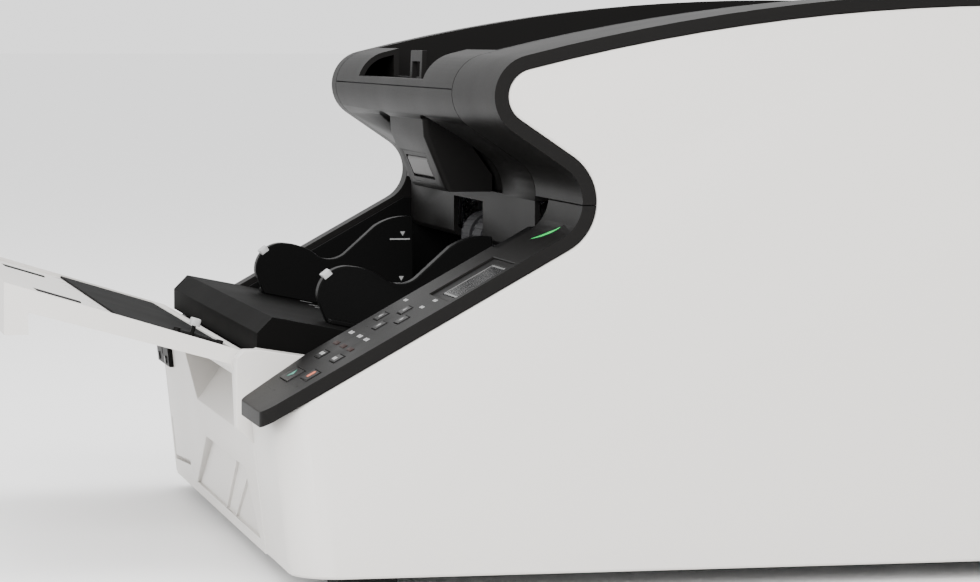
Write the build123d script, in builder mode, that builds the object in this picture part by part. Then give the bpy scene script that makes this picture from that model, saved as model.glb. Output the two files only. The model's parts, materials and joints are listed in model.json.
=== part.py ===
from build123d import *
from math import acos, atan2, cos, hypot, radians, sin, sqrt, tan
import os

# Sheet-fed document scanner: a white body with dark edge trim, a feed tray that folds up at the front,
# a feed table that rises, and an upper unit that opens at a rear hinge to show the paper path.
# Millimetres. +X is the user's right, +Y the back and +Z up. Every y in this file is measured back from
# the foot of the front cover; the planes below shift it so that the origin lies under the middle.

os.makedirs("parts", exist_ok=True)

# Overall sizes
width = 480.0
rear_y = 564.0
tray_front_y = -126.0
foot_h = 10.0

# Side outline of the white covers: top arc, rolled nose, underside, mouth and sloping lower line
top_r = 1022.0
top_y = 368.0
top_z = 285.1
nose_r = 13.4
nose_y = 120.3
mouth_r = 26.8
mouth_y = 123.6
mouth_z = 189.9
bar_slope = 29.2
front_foot_y = 2.5
front_lean = 6.0
corner_r = 24.0
cover_depth = 14.0
cover_return = 14.0

# Walls, trim and clearances
wall = 2.5
skin = 3.0
plate_t = 1.5
band = 7.0
proud = 1.7
seam = 0.5
touch = 0.3
fit = 0.05
soft_edge = 1.2
flange_w = 4.8
trim_wall = 2.0
past = 1.0

# Division of the width: left strip, upper unit with the paper path, right block with the control bar
left_strip = 18.0
right_block = 107.0
bar_w = 94.0
bar_front_y = -13.3
bar_tip_cut = 21.0
bar_tip_y = 25.0
bar_tip_r = 8.0
mouth_step = 17.0
seam_z = 188.5
nose_seam_z = 243.0
lip_z = 186.0
trim_step = 26.5

# Margins from the sides of the upper unit inwards, and the control bar's seam
front_margin = 8.0
cheek_margin = 4.5
bar_seam = 1.0
frame_margin = 4.0
frame_right_margin = 2.5
upper_margin = 7.0
upper_right_margin = 5.5
guide_plate_margin = 16.5
table_margin = 6.5
tray_margin = 6.0
sensor_margin = 18.5
guide_margin = 63.0

# Paper path
path_z = 150.0
path_gap = 6.0
shaft_r = 3.0
nip = 0.3
plate_front_y = 178.0
turn_to_hinge = 32.0
turn_z = 202.0
turn_start = -90.0
turn_end = 41.0
turn_top_end = 95.0
turn_guide_t = 2.0
turn_guide_rib = 8.0
hinge_to_rear = 102.0
hinge_z = 276.0
hinge_pin_r = 4.0
barrel_r = 11.5
hinge_lug_r = 8.0
rear_top_gap = 13.0

# Rollers: places along the path, radius and length of the tyres, pulleys, belt and motors
feed_y = 200.0
feed_r = 16.0
pickup_y = 160.0
pickup_z = 158.0
pickup_r = 14.0
drive_r = 10.0
front_drive_y = 250.0
rear_drive_y = 360.0
eject_to_turn = 25.0
eject_z = 246.0
eject_r = 9.0
feed_tyre = 22.0
feed_tyre_pitch = 30.0
drive_tyre = 30.0
drive_tyre_pitch = 150.0
feed_window = 12.0
drive_window = 9.0
pulley_r = 8.7
pulley_gap = 11.5
pulley_w = 9.0
belt_t = 1.5
motor_y = 305.0
motor_z = 62.0
motor_r = 28.0
motor_l = 48.0
arm_x = 36.0
arm_w = 2.0
arm_half = 6.0
arm_back_y = 214.0
feed_motor_y = 238.0
feed_motor_z = 205.0
feed_motor_r = 18.0
feed_motor_l = 46.0
flange_edge = 4.0

# Latch
latch_y = 178.0
latch_z = 186.0
hook_t = 3.0
catch_y = 186.0
catch_z = 146.0
catch_r = 2.5
catch_l = 8.0
toe_h = 4.0
hook_w = 8.5

# Frames of the paper path
frame_front_y = 184.0
frame_back = 24.0
frame_step = 8.0
frame_rear_z = 236.0
base_z = 12.0
beam_z = 185.0
beam_low_y = 188.0
beam_high_y = 222.0
plate_drop = 8.0

# Boards and supply
board_back = 29.0
board_l = 150.0
board_z = 92.0
board_h = 54.0
board_t = 1.6
chip_h = 4.0
chip_w = 20.0
chip_pitch = 34.0
chip_row = 20.0
plug_w = 16.0
plug_h = 8.0
plug_pitch = 24.0
plug_row = 11.0
supply_gap = 21.5
supply_w = 70.0
supply_back = 34.0
supply_l = 130.0
supply_h = 60.0
supply_slot_l = 90.0

# Image sensor bars
sensor_y = 295.0
sensor_w = 36.0
sensor_h = 26.0
sensor_edge = 5.0
glass_w = 24.0
glass_t = 2.0
glass_end = 8.0

# Feed tray
tray_hinge_y = -7.0
tray_hinge_z = 105.5
tray_barrel_r = 5.6
tray_pin_r = 2.5
tray_slope = 16.9
tray_edge = 12.0
tray_root_edge = 8.0
lip_h = 26.0
lip_t = 12.0
tray_rim = 4.0
tray_floor_t = 2.5
tray_floor_drop = 2.0
liner_t = 1.2
liner_l = 58.0
tongue_w = 78.0
tongue_l = 84.0
tongue_t = 2.5
runner_w = 1.5
runner_start = 30.0
runner_lip = 1.0
grip_w = 44.0
grip_h = 8.0
tray_rib_pitch = 48.0
rib_w = 2.0

# Feed table and document guides
table_front_y = 1.0
table_back_y = 172.0
table_block_z = 108.0
table_top_z = 128.0
table_chamfer = 8.0
table_block_y = 50.0
table_slope = 0.2
table_t = 4.0
table_wall = 5.0
bar_half = 5.0
bar_x = 110.0
bar_y = 100.0
bar_low_z = 32.0
well_z = 84.0
well_step_y = 40.0
well_front_y = 6.0
well_back_z = 136.0
well_ledge_y = 140.0
well_back_y = 174.5
well_gap = 3.5
ledge_low = 1.5
ledge_high = 4.0
guide_t = 8.0
guide_foot = 12.0
guide_foot_t = 2.6
guide_low = (41.0, 133.0)
guide_brow = (46.0, 146.0)
guide_hump = (59.0, 149.8)
guide_fall = (70.0, 147.0)
guide_dip_start = (78.0, 141.9)
guide_dip = (86.0, 140.4)
guide_dip_end = (94.5, 144.4)
guide_rise = (111.0, 159.2)
guide_crest = (120.0, 163.5)
guide_back = (134.0, 164.5)
guide_foot_y = 46.0
rail_w = 6.0
rail_d = 2.0
rail_y = 88.0
rail_end = 4.0

# Nose: chin with its release button, pulled-in scoops, and the wall that closes the mouth
chin_shift = 9.5
chin_w = 102.0
chin_top = (107.5, 226.0)
chin_mid = (108.2, 216.0)
chin_tilt = 22.7
chin_face = 21.0
chin_round = 3.0
core_w = 200.0
core_t = 8.0
scoop_r = 49.6
scoop_c = (102.0, 178.2)
scoop_x = 63.0
button_mid = (115.75, 197.85)
button_w = 60.0
button_h = 12.6
button_t = 7.0
button_travel = 6.0
bezel_edge = 4.0
bezel_t = 1.5
throat_y = 144.6
throat_z = 160.0
throat_low_z = 154.6
throat_back_y = 172.0
throat_t = 2.6
throat_margin = 6.5
pickup_window_z = 180.0

# Eject tray and stopper
notch_left = 102.5
notch_right = 94.5
notch_z = 247.0
eject_floor_front_z = 233.0
eject_floor_back_z = 252.0
eject_slot_z = 270.0
eject_slot_front = 20.0
eject_wall = 4.5
eject_rib_h = 1.2
eject_rib_pitch = 78.0
block_front_y = 121.5
floor_front_y = 108.0
hood_gap = 2.0
stopper_w = 34.0
stopper_y = 116.0
stopper_z = 238.5
stopper_top = 262.0
stopper_t = 3.0
stopper_pin_r = 1.5
stopper_hole_w = 22.0
stopper_hole_h = 9.0
stopper_ear = 3.0

# Front cover
front_t = 9.0
front_top_z = 98.8
cheek_z = 113.0
cheek_front_y = -12.2
cheek_low_z = 66.0
cheek_fall = 4.0
cheek_back_y = 25.0
lug_r = 4.8
lug_t = 6.5
lug_gap = 4.0
bracket_w = 54.0
bracket_t = 2.8
bracket_low_z = 77.0
bracket_high_z = 97.0
bracket_slot_w = 3.0
bracket_slot_h = 12.0
pocket_half = 74.0
pocket_flare_left = 42.0
pocket_flare_right = 14.0
pocket_z = 67.5
pocket_top_z = 96.3
panel_low_left = 262.0
panel_low_right = 15.0
panel_high_left = 197.0
panel_high_right = 47.0
panel_low_z = 16.0
panel_high_z = 49.0
panel_depth = 5.0
panel_depth_low = 2.0
panel_rise = 1.8
rib_places = ((96.0, 144.0), (49.0, 108.0))
groove_w = 4.0
groove_d = 2.5
groove_l = 72.0
groove_low_z = 19.0
groove_rise = 4.0
groove_high_z = 44.0

# Control bar: keys as (name, distance in from the right side, y along the floor, length, breadth)
keys = (
    ("start_key", 57.0, 10.5, 24.0, 10.0),
    ("stop_key", 26.0, 14.5, 18.0, 8.0),
    ("clear_key", 66.0, 26.5, 14.0, 6.0),
    ("menu_key", 30.0, 28.0, 14.0, 6.0),
    ("left_key", 76.0, 58.0, 12.0, 6.5),
    ("down_key", 53.0, 53.0, 12.0, 6.5),
    ("up_key", 54.0, 66.0, 12.0, 6.5),
    ("right_key", 33.0, 60.5, 12.0, 6.5),
)
key_proud = 0.5
key_depth = 3.0
key_travel = 0.8
key_gap = 0.3
key_edge = 0.4
window_in = 30.0
window_w = 32.0
window_low_y = 83.0
window_high_y = 108.0
window_t = 1.6
window_recess = 1.2
window_frame_w = 20.0
window_frame_l = 8.0
window_shift = 5.0
light_t = 2.0
light_low = (50.0, 128.6)
light_high = (28.5, 138.4)
light_w = 3.4

# Back face
cover_back = 12.0
rear_r = 8.0
port_z = 40.0
inlet_in = 50.0
inlet_w = 28.0
inlet_h = 20.0
inlet_depth = 16.0
inlet_wall = 2.5
inlet_cut = 2.0
blade_w = 1.6
blade_h = 4.0
blade_pitch = 6.0
switch_in = 88.0
switch_w = 14.0
switch_h = 20.0
switch_pivot = 8.0
switch_half = 8.8
switch_pin_r = 1.5
switch_pin_l = 3.0
data_in = 140.0
data_w = 12.0
data_h = 11.0
data_depth = 13.5
vent_count = 8
vent_pitch = 12.0
vent_w = 4.0
vent_h = 46.0
vent_z = 110.0
vent_rise = 70.0
screw_in = 16.0
screw_z = 240.0
screw_head_r = 3.5

# Base pan, feet and pins
pan_in = 15.0
pan_front_y = 15.0
pan_h = 20.0
slot_count = 6
slot_pitch = 14.0
slot_w = 5.0
slot_l = 60.0
slot_x = 60.0
slot_y = 300.0
pin_l = 20.0
foot_w = 30.0
foot_in = 40.0
foot_front_y = 42.0
foot_back = 44.0
foot_bore = 4.0

# Places worked out from the sizes above
half = width / 2
mid_y = (rear_y + tray_front_y) / 2
trim_x = half - proud
cover_back_y = rear_y - cover_back
unit_left = left_strip - half
unit_right = half - right_block
path_x = (unit_left + unit_right) / 2
path_w = unit_right - unit_left
bar_left = half - bar_w
mouth_in_x = bar_left + mouth_step
front_left = unit_left + front_margin
cheek_left = unit_right - cheek_margin
cheek_right = bar_left - bar_seam
frame_left = unit_left + frame_margin
frame_right = unit_right - frame_right_margin
frame_back_y = rear_y - frame_back
upper_left = unit_left + upper_margin
upper_right = unit_right - upper_right_margin
side_left = unit_left + guide_plate_margin
side_right = unit_right - guide_plate_margin
table_w = path_w - 2 * table_margin
tray_w = path_w - 2 * tray_margin
sensor_l = path_w - 2 * sensor_margin
guide_half = table_w / 2 - guide_margin
hinge_y = rear_y - hinge_to_rear
turn_y = hinge_y - turn_to_hinge
eject_y = turn_y - eject_to_turn
eject_slot_y = eject_y - eject_slot_front
frame_step_y = hinge_y + frame_step
rear_top_y = hinge_y + rear_top_gap
chin_x = path_x + chin_shift
well_step_z = front_top_z + touch
foot_x = half - foot_in
foot_back_y = rear_y - foot_back
lower_top = path_z - path_gap / 2
upper_low = path_z + path_gap / 2
slope = radians(bar_slope)
top_c = (top_y, top_z - top_r)
nose_c = (nose_y, top_c[1] + sqrt((top_r - nose_r) ** 2 - (top_y - nose_y) ** 2))
mouth_c = (mouth_y, mouth_z)
nose_turn = atan2(nose_c[1] - top_c[1], nose_c[0] - top_c[0])
under_turn = atan2(nose_c[1] - mouth_c[1], nose_c[0] - mouth_c[0]) - acos(
    (nose_r + mouth_r) / hypot(nose_c[0] - mouth_c[0], nose_c[1] - mouth_c[1])
)
sky_z = top_z + 5 * band
ahead_y = nose_y - 4 * nose_r - band
behind_y = rear_y + 2 * band


def side(x):
    """Plane at x that faces +X, drawn in (y, z)."""
    return Plane(origin=(x, -mid_y, 0), x_dir=(0, 1, 0), z_dir=(1, 0, 0))


def level(z):
    """Plane at height z that faces up, drawn in (x, y)."""
    return Plane(origin=(0, -mid_y, z))


def facing(y):
    """Plane at y that faces the user, drawn in (x, z)."""
    return Plane(origin=(0, y - mid_y, 0), x_dir=(1, 0, 0), z_dir=(0, -1, 0))


def back(y):
    """Plane at y that faces away from the user, drawn in (-x, z)."""
    return Plane(origin=(0, y - mid_y, 0), x_dir=(-1, 0, 0), z_dir=(0, 1, 0))


def polar(centre, radius, turn):
    """Point on a circle of the side view."""
    return (centre[0] + radius * cos(turn), centre[1] + radius * sin(turn))


def front_y(z):
    """Where the leaning front face stands at height z."""
    return front_foot_y - (z - foot_h) * tan(radians(front_lean))


def lean(depth, z):
    """Point of the side view behind the leaning front face."""
    return (front_y(z) + depth, z)


def bar_z(y, off):
    """Height of the sloping lower line at y, moved out by off."""
    low = polar(mouth_c, mouth_r - off, slope - radians(90))
    return low[1] + (y - low[0]) * tan(slope)


def top_at(y, off):
    """Height of the top arc at y, moved out by off."""
    return top_c[1] + sqrt((top_r + off) ** 2 - (y - top_y) ** 2)


def outline(off, inset=0.0, back_y=rear_y):
    """Draw the closed side outline in the line being built: off moves the shaped upper line out,
    inset moves the front face and the foot in."""
    lean_rise = tan(radians(front_lean))
    tip_y = (front_y(bar_z(0, off)) + inset) / (1 + tan(slope) * lean_rise)
    tip = (tip_y, bar_z(tip_y, off))
    foot = (front_y(foot_h + inset) + inset, foot_h + inset)
    top_back = (back_y, top_at(back_y, off))
    down = slope - radians(90)
    nose_end = under_turn + radians(180)
    nose_top = polar(nose_c, nose_r + off, nose_turn)
    nose_low = polar(nose_c, nose_r + off, nose_end)
    mouth_top = polar(mouth_c, mouth_r - off, under_turn)
    mouth_low = polar(mouth_c, mouth_r - off, down)
    back_turn = atan2(top_back[1] - top_c[1], back_y - top_c[0])
    ThreePointArc(top_back, polar(top_c, top_r + off, (back_turn + nose_turn) / 2), nose_top)
    ThreePointArc(nose_top, polar(nose_c, nose_r + off, (nose_turn + nose_end) / 2), nose_low)
    Line(nose_low, mouth_top)
    ThreePointArc(mouth_top, polar(mouth_c, mouth_r - off, (under_turn + down) / 2), mouth_low)
    Polyline(mouth_low, tip, foot, (back_y, foot[1]), top_back)


def closed_face(off, inset=0.0, back_y=rear_y, mode=Mode.ADD):
    """Face inside the side outline, in the sketch being built."""
    with BuildLine() as run:
        outline(off, inset, back_y)
    make_face(run.edges(), mode=mode)


def band_face(off_in, off_out):
    """Face between two offsets of the side outline, in the sketch being built."""
    closed_face(off_out)
    closed_face(off_in, mode=Mode.SUBTRACT)


def patch(*corners, mode=Mode.ADD):
    """Straight-sided face in the sketch being built."""
    with BuildLine() as run:
        Polyline(*corners, close=True)
    make_face(run.edges(), mode=mode)


def window(low, high, mode=Mode.INTERSECT):
    """Upright rectangle between two corners, in the sketch being built."""
    patch(low, (high[0], low[1]), high, (low[0], high[1]), mode=mode)


def bores(places, radius):
    """Round holes at places of the sketch being built."""
    with Locations(*places):
        Circle(radius, mode=Mode.SUBTRACT)


def bearing_slots(places, edge_z):
    """Upright slots for shafts at places of the side view, open at the height edge_z."""
    room = shaft_r + fit
    for y, z in places:
        end_z = z - room if edge_z > z else z + room
        window((y - room, min(edge_z, end_z)), (y + room, max(edge_z, end_z)), mode=Mode.SUBTRACT)


def keep(piece, name):
    """Label a finished piece and write it out."""
    piece.part.label = name
    export_step(piece.part, f"parts/{name}.step")


# White side covers

def cover_solid(off, inset, x_in, x_out, corner, edge):
    """The closed form of a right side cover, rounded at its outer front corner."""
    with BuildPart() as solid:
        with BuildSketch(side(x_in)):
            closed_face(off, inset, cover_back_y - inset)
        extrude(amount=x_out - x_in)
        straight = solid.faces().sort_by(Axis.X)[-1].edges().filter_by(GeomType.LINE)
        fillet(straight.sort_by(Axis.Y)[0], radius=corner)
        if edge:
            chamfer(solid.faces().sort_by(Axis.X)[-1].edges(), length=edge)
    return solid.part


def side_cover(x_front):
    """Pan-shaped right cover: an outer wall with a rim, and a return across the front up to x_front."""
    outer = cover_solid(0, 0, x_front, half, corner_r, soft_edge)
    inner = cover_solid(-wall, wall, x_front - past, half - wall, corner_r - wall, 0)
    with BuildPart() as cover:
        add(outer)
        add(inner, mode=Mode.SUBTRACT)
        with BuildSketch(side(x_front)):
            window((cover_return, 0), (rear_y, sky_z), mode=Mode.ADD)
        extrude(amount=half - cover_depth - x_front, mode=Mode.SUBTRACT)
    return cover.part


with BuildPart() as right_side_panel:
    add(side_cover(bar_left + seam))
keep(right_side_panel, "right_side_panel")

with BuildPart() as left_side_panel:
    add(mirror(side_cover(seam - front_left), about=Plane.YZ, mode=Mode.PRIVATE))
keep(left_side_panel, "left_side_panel")


# Dark edge trim that follows the side outline

above_mouth = (
    (ahead_y, seam_z), (mouth_y + mouth_r + 4 * wall, seam_z),
    (mouth_y + mouth_r + 4 * wall, seam_z + trim_step),
    (behind_y, seam_z + trim_step), (behind_y, sky_z), (ahead_y, sky_z)
)
web_back_y = cover_back_y - 2 * trim_wall

with BuildPart() as right_upper_trim:
    with BuildSketch(side(unit_right + seam)):
        band_face(band - skin, band)
        patch(*above_mouth, mode=Mode.INTERSECT)
    extrude(amount=trim_x - unit_right - seam)
    with BuildSketch(side(trim_x - flange_w)):
        band_face(touch, band)
        patch(*above_mouth, mode=Mode.INTERSECT)
    extrude(amount=flange_w)
    with BuildSketch(side(unit_right + seam)):
        closed_face(band)
        patch(*above_mouth, mode=Mode.INTERSECT)
        window((ahead_y, 0), (web_back_y, sky_z))
        bores([(hinge_y, hinge_z)], hinge_pin_r)
    extrude(amount=trim_wall)
keep(right_upper_trim, "right_upper_trim")

with BuildPart() as left_trim:
    with BuildSketch(side(-trim_x)):
        band_face(band - skin, band)
    extrude(amount=trim_x + unit_left - seam)
    with BuildSketch(side(-trim_x)):
        band_face(touch, band)
    extrude(amount=flange_w)
    with BuildSketch(side(unit_left - seam - trim_wall)):
        closed_face(band)
        window((cover_return + trim_wall, well_z), (web_back_y, sky_z))
        bores([(hinge_y, hinge_z)], hinge_pin_r)
    extrude(amount=trim_wall)
keep(left_trim, "left_trim")

with BuildPart() as rear_top_cover:
    with BuildSketch(side(unit_left)):
        band_face(band - skin, band)
        window((rear_top_y, seam_z), (rear_y, sky_z))
    extrude(amount=path_w)
keep(rear_top_cover, "rear_top_cover")


# Control bar with its keys, window and status light

bar_plane = Plane(
    origin=(0, -mid_y, bar_z(0, band)), x_dir=(1, 0, 0), z_dir=(0, -sin(slope), cos(slope))
)


def on_bar(depth):
    """Plane parallel to the bar's face, sunk by depth."""
    return bar_plane.offset(-depth)


def along(y):
    """Distance up the bar's face for a place y along the floor."""
    return y / cos(slope)


def top_edges(piece, plane):
    """Edges round the face of a piece that lies furthest along the normal of a plane."""
    return piece.faces().sort_by(Axis((0, 0, 0), plane.z_dir))[-1].edges()


window_mid = (half - window_in, along((window_low_y + window_high_y) / 2))
window_l = along(window_high_y - window_low_y)
light_a = (half - light_low[0], light_low[1])
light_b = (half - light_high[0], light_high[1])
light_mid = ((light_a[0] + light_b[0]) / 2, (light_a[1] + light_b[1]) / 2)

with BuildPart() as status_light:
    with BuildSketch(side(bar_left)):
        band_face(band - light_t, band)
    extrude(amount=half - bar_left)
    with BuildSketch(level(0)):
        patch(light_a, (light_mid[0], light_mid[1] - light_w / 2), light_b,
              (light_mid[0], light_mid[1] + light_w / 2))
    extrude(amount=seam_z, mode=Mode.INTERSECT)
keep(status_light, "status_light")

with BuildPart() as control_housing:
    with BuildSketch(side(bar_left)):
        band_face(touch, band)
        window((2 * bar_front_y - mouth_r, 0), (mouth_y + 2 * mouth_r, seam_z - touch))
        patch((bar_front_y, bar_z(bar_front_y, touch)), (-bar_front_y, bar_z(-bar_front_y, touch)),
              (-bar_front_y, bar_z(-bar_front_y, band)), (bar_front_y, bar_z(bar_front_y, band)))
    extrude(amount=trim_x - bar_left)
    with BuildSketch(level(0)):
        patch((bar_left - past, bar_tip_y), (bar_left + bar_tip_cut, bar_front_y - past),
              (bar_left - past, bar_front_y - past))
        window((bar_left - past, guide_crest[0] - 2 * past), (mouth_in_x, behind_y), mode=Mode.ADD)
    extrude(amount=top_z, mode=Mode.SUBTRACT)
    upright = control_housing.edges().filter_by(Axis.Z)
    fillet(upright.group_by(Axis.Y)[0], radius=bar_tip_r)
    with BuildSketch(on_bar(0)):
        with Locations((window_mid[0] - window_shift, window_mid[1])):
            Rectangle(window_w + window_frame_w, window_l + window_frame_l)
    extrude(amount=-window_recess, mode=Mode.SUBTRACT)
    with BuildSketch(on_bar(window_recess)):
        with Locations(window_mid):
            Rectangle(window_w + 2 * touch, window_l + 2 * touch)
    extrude(amount=-window_t - touch, mode=Mode.SUBTRACT)
    for name, x_in, y, length, breadth in keys:
        with BuildSketch(on_bar(0)):
            with Locations((half - x_in, along(y))):
                Rectangle(length + 2 * key_gap, breadth + 2 * key_gap)
        extrude(amount=-key_depth - key_travel, mode=Mode.SUBTRACT)
    add(status_light.part, mode=Mode.SUBTRACT)
keep(control_housing, "control_housing")

for name, x_in, y, length, breadth in keys:
    with BuildPart() as key:
        with BuildSketch(on_bar(key_depth)):
            with Locations((half - x_in, along(y))):
                Rectangle(length, breadth)
        extrude(amount=key_depth + key_proud)
        chamfer(top_edges(key, bar_plane), length=key_edge)
    keep(key, name)

with BuildPart() as display_window:
    with BuildSketch(on_bar(window_recess + window_t)):
        with Locations(window_mid):
            Rectangle(window_w, window_l)
    extrude(amount=window_t)
keep(display_window, "display_window")


# Upper unit: nose cover with its chin and throat wall, and the release button

unit_x = unit_left + seam
unit_w = path_w - 2 * seam
face_turn = radians(chin_tilt)
face_up = (-sin(face_turn), cos(face_turn))
face_top = (button_mid[0] + face_up[0] * chin_face / 2, button_mid[1] + face_up[1] * chin_face / 2)
face_low = (button_mid[0] - face_up[0] * chin_face / 2, button_mid[1] - face_up[1] * chin_face / 2)
chin_back_y = throat_y + past
throat_ledge_y = throat_y + 4 * throat_t
hook_in_left = upper_left + plate_t + hook_t + 2 * past
hook_in_right = upper_right - plate_t - hook_t - 2 * past
button_plane = Plane(
    origin=(chin_x, button_mid[0] - mid_y, button_mid[1]), x_dir=(1, 0, 0),
    z_dir=(0, -cos(face_turn), -sin(face_turn))
)

with BuildPart() as chin:
    with BuildSketch(side(chin_x - chin_w / 2)):
        patch(chin_top, chin_mid, face_top, face_low, (face_low[0] + 2 * past, lip_z), (chin_back_y, lip_z),
              (chin_back_y, chin_mid[1] - chin_face), (mouth_y, chin_top[1]))
    extrude(amount=chin_w)
    fronts = chin.faces().filter_by(lambda f: f.normal_at().Y < -0.8)
    ends = [e for e in fronts.edges() if abs(abs(e.center().X - chin_x) - chin_w / 2) < seam]
    fillet(ends, radius=chin_round)

with BuildPart() as nose_cover:
    with BuildSketch(side(unit_x)):
        band_face(band - skin, band)
        window((ahead_y, lip_z), (throat_y + 5 * skin, nose_seam_z - touch))
    extrude(amount=unit_w)
    with BuildSketch(side(unit_x), side(unit_x + unit_w - trim_wall)):
        closed_face(band)
        window((ahead_y, lip_z), (throat_y + 2 * skin, nose_seam_z - touch))
    extrude(amount=trim_wall)
    with BuildSketch(side(chin_x - core_w / 2)):
        band_face(-core_t, band)
        window((ahead_y, lip_z), (throat_y + 5 * skin, chin_top[1]))
    extrude(amount=core_w)
    with Locations(*[(chin_x + s * scoop_x, scoop_c[0] - mid_y, scoop_c[1]) for s in (-1, 1)]):
        Sphere(scoop_r, mode=Mode.SUBTRACT)
    add(chin.part)
    with BuildSketch(side(unit_left + throat_margin)):
        patch((throat_y, lip_z + touch), (throat_y, throat_z),
              (throat_y + throat_t, throat_low_z + throat_t),
              (throat_back_y, throat_low_z), (throat_back_y, throat_low_z + throat_t),
              (throat_y + 2 * throat_t, throat_z), (throat_y + throat_t, throat_z + throat_t),
              (throat_y + throat_t, lip_z + touch))
    extrude(amount=path_w - 2 * throat_margin)
    with BuildSketch(level(throat_low_z - past)):
        window((path_x - arm_x - flange_edge, throat_y - past), (path_x + arm_x + flange_edge, rear_y),
               mode=Mode.ADD)
    extrude(amount=pickup_window_z - throat_low_z + past, mode=Mode.SUBTRACT)
    with BuildSketch(level(throat_low_z - past)):
        window((unit_left, throat_ledge_y), (hook_in_left, rear_y), mode=Mode.ADD)
        window((hook_in_right, throat_ledge_y), (unit_right, rear_y), mode=Mode.ADD)
    extrude(amount=throat_z - throat_low_z + 2 * past, mode=Mode.SUBTRACT)
    with BuildSketch(button_plane):
        Rectangle(button_w + 2 * bezel_edge, button_h + 1.5 * bezel_edge)
    extrude(amount=-bezel_t, mode=Mode.SUBTRACT)
    with BuildSketch(button_plane):
        Rectangle(button_w + 2 * touch, button_h + 2 * touch)
    extrude(amount=-button_t - button_travel - touch, mode=Mode.SUBTRACT)
keep(nose_cover, "nose_cover")

with BuildPart() as button_bezel:
    with BuildSketch(button_plane):
        Rectangle(button_w + 2 * bezel_edge, button_h + 1.5 * bezel_edge)
        Rectangle(button_w + 2 * touch, button_h + 2 * touch, mode=Mode.SUBTRACT)
    extrude(amount=-bezel_t)
keep(button_bezel, "button_bezel")

with BuildPart() as release_button:
    with BuildSketch(button_plane):
        Rectangle(button_w, button_h)
    extrude(amount=-button_t)
    chamfer(top_edges(release_button, button_plane), length=soft_edge)
keep(release_button, "release_button")


# Upper unit: eject tray with its hood, ribs and stopper

def eject_floor(y):
    """Height of the eject tray's floor at y."""
    rise = (eject_floor_back_z - eject_floor_front_z) / (eject_slot_y - nose_y)
    return eject_floor_front_z + (y - nose_y) * rise


def floor_point(y, up):
    """Point of the side view up above the eject tray's floor."""
    return (y, eject_floor(y) + up)


wall_planes = (side(unit_x), side(unit_x + unit_w - eject_wall))
floor_x = unit_x + eject_wall
floor_w = unit_w - 2 * eject_wall
block_back_y = block_front_y + skin
wall_front_y = mouth_y + mouth_r
floor_back_y = eject_slot_y + band
hood_back_y = hinge_y - hood_gap
rib_front_y = block_back_y + 3 * skin
rib_back_y = eject_slot_y - 2 * skin
eject_rib_planes = [side(path_x + s * eject_rib_pitch - rib_w / 2) for s in (-1.5, -0.5, 0.5, 1.5)]
ear_planes = [side(path_x + s * (stopper_w + 2 * stopper_ear) / 2 - stopper_ear / 2) for s in (-1, 1)]

with BuildPart() as eject_tray:
    with BuildSketch(side(unit_x)):
        band_face(band - skin, band)
        window((ahead_y, nose_seam_z + touch), (block_back_y, sky_z))
    extrude(amount=unit_w)
    with BuildSketch(side(unit_x)):
        closed_face(band)
        window((block_front_y, nose_seam_z + touch), (block_back_y, sky_z))
    extrude(amount=unit_w)
    with BuildSketch(*wall_planes):
        closed_face(band)
        window((ahead_y, nose_seam_z + touch), (wall_front_y, sky_z))
    extrude(amount=eject_wall)
    with BuildSketch(level(notch_z)):
        window((path_x - notch_left, ahead_y), (path_x + notch_right, block_back_y + past), mode=Mode.ADD)
    extrude(amount=sky_z - notch_z, mode=Mode.SUBTRACT)
    with BuildSketch(level(eject_floor_front_z + past)):
        with Locations((path_x, block_front_y + skin / 2)):
            Rectangle(stopper_w + 4 * past, 2 * skin)
    extrude(amount=sky_z - notch_z, mode=Mode.SUBTRACT)
    with BuildSketch(side(floor_x)):
        band_face(band - 2 * skin - touch, band - skin - touch)
        window((ahead_y, eject_floor(floor_front_y) - skin), (block_front_y, notch_z))
        patch(floor_point(floor_front_y - 4 * past, -skin), floor_point(floor_back_y, -skin),
              floor_point(floor_back_y, 0), floor_point(floor_front_y - 2 * past, 0))
        closed_face(band - skin - touch, mode=Mode.INTERSECT)
    extrude(amount=floor_w)
    with BuildSketch(*wall_planes):
        closed_face(band)
        patch(floor_point(wall_front_y, -skin), floor_point(floor_back_y, -skin),
              (hood_back_y, hinge_z - tray_rim), (hood_back_y, sky_z), (wall_front_y, sky_z),
              mode=Mode.INTERSECT)
        with Locations((hinge_y, hinge_z)):
            Circle(barrel_r)
    extrude(amount=eject_wall)
    with BuildSketch(side(unit_x)):
        band_face(band - skin, band)
        window((eject_slot_y, seam_z), (hood_back_y, sky_z))
    extrude(amount=unit_w)
    with BuildSketch(side(unit_x)):
        closed_face(band)
        window((eject_slot_y, eject_slot_z), (eject_slot_y + skin, sky_z))
    extrude(amount=unit_w)
    with BuildSketch(side(unit_x)):
        with Locations((hinge_y, hinge_z)):
            Circle(barrel_r)
            Circle(barrel_r - skin, mode=Mode.SUBTRACT)
        window((hinge_y - 2 * barrel_r, hinge_z - hood_gap), (hinge_y + 2 * barrel_r, sky_z))
    extrude(amount=unit_w)
    with BuildSketch(*eject_rib_planes):
        patch(floor_point(rib_front_y, -past), floor_point(rib_back_y, -past),
              floor_point(rib_back_y - skin, eject_rib_h), floor_point(rib_front_y + skin, eject_rib_h))
    extrude(amount=rib_w)
    with BuildSketch(*ear_planes):
        patch(floor_point(stopper_y - 4 * past, -past), floor_point(stopper_y + 5 * past, -past),
              (stopper_y + skin, stopper_z + skin), (stopper_y - skin, stopper_z + skin))
        bores([(stopper_y, stopper_z)], stopper_pin_r + fit)
    extrude(amount=stopper_ear)
    with BuildSketch(side(unit_x)):
        with Locations((hinge_y, hinge_z)):
            Circle(hinge_pin_r + fit)
    extrude(amount=unit_w, mode=Mode.SUBTRACT)
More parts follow.
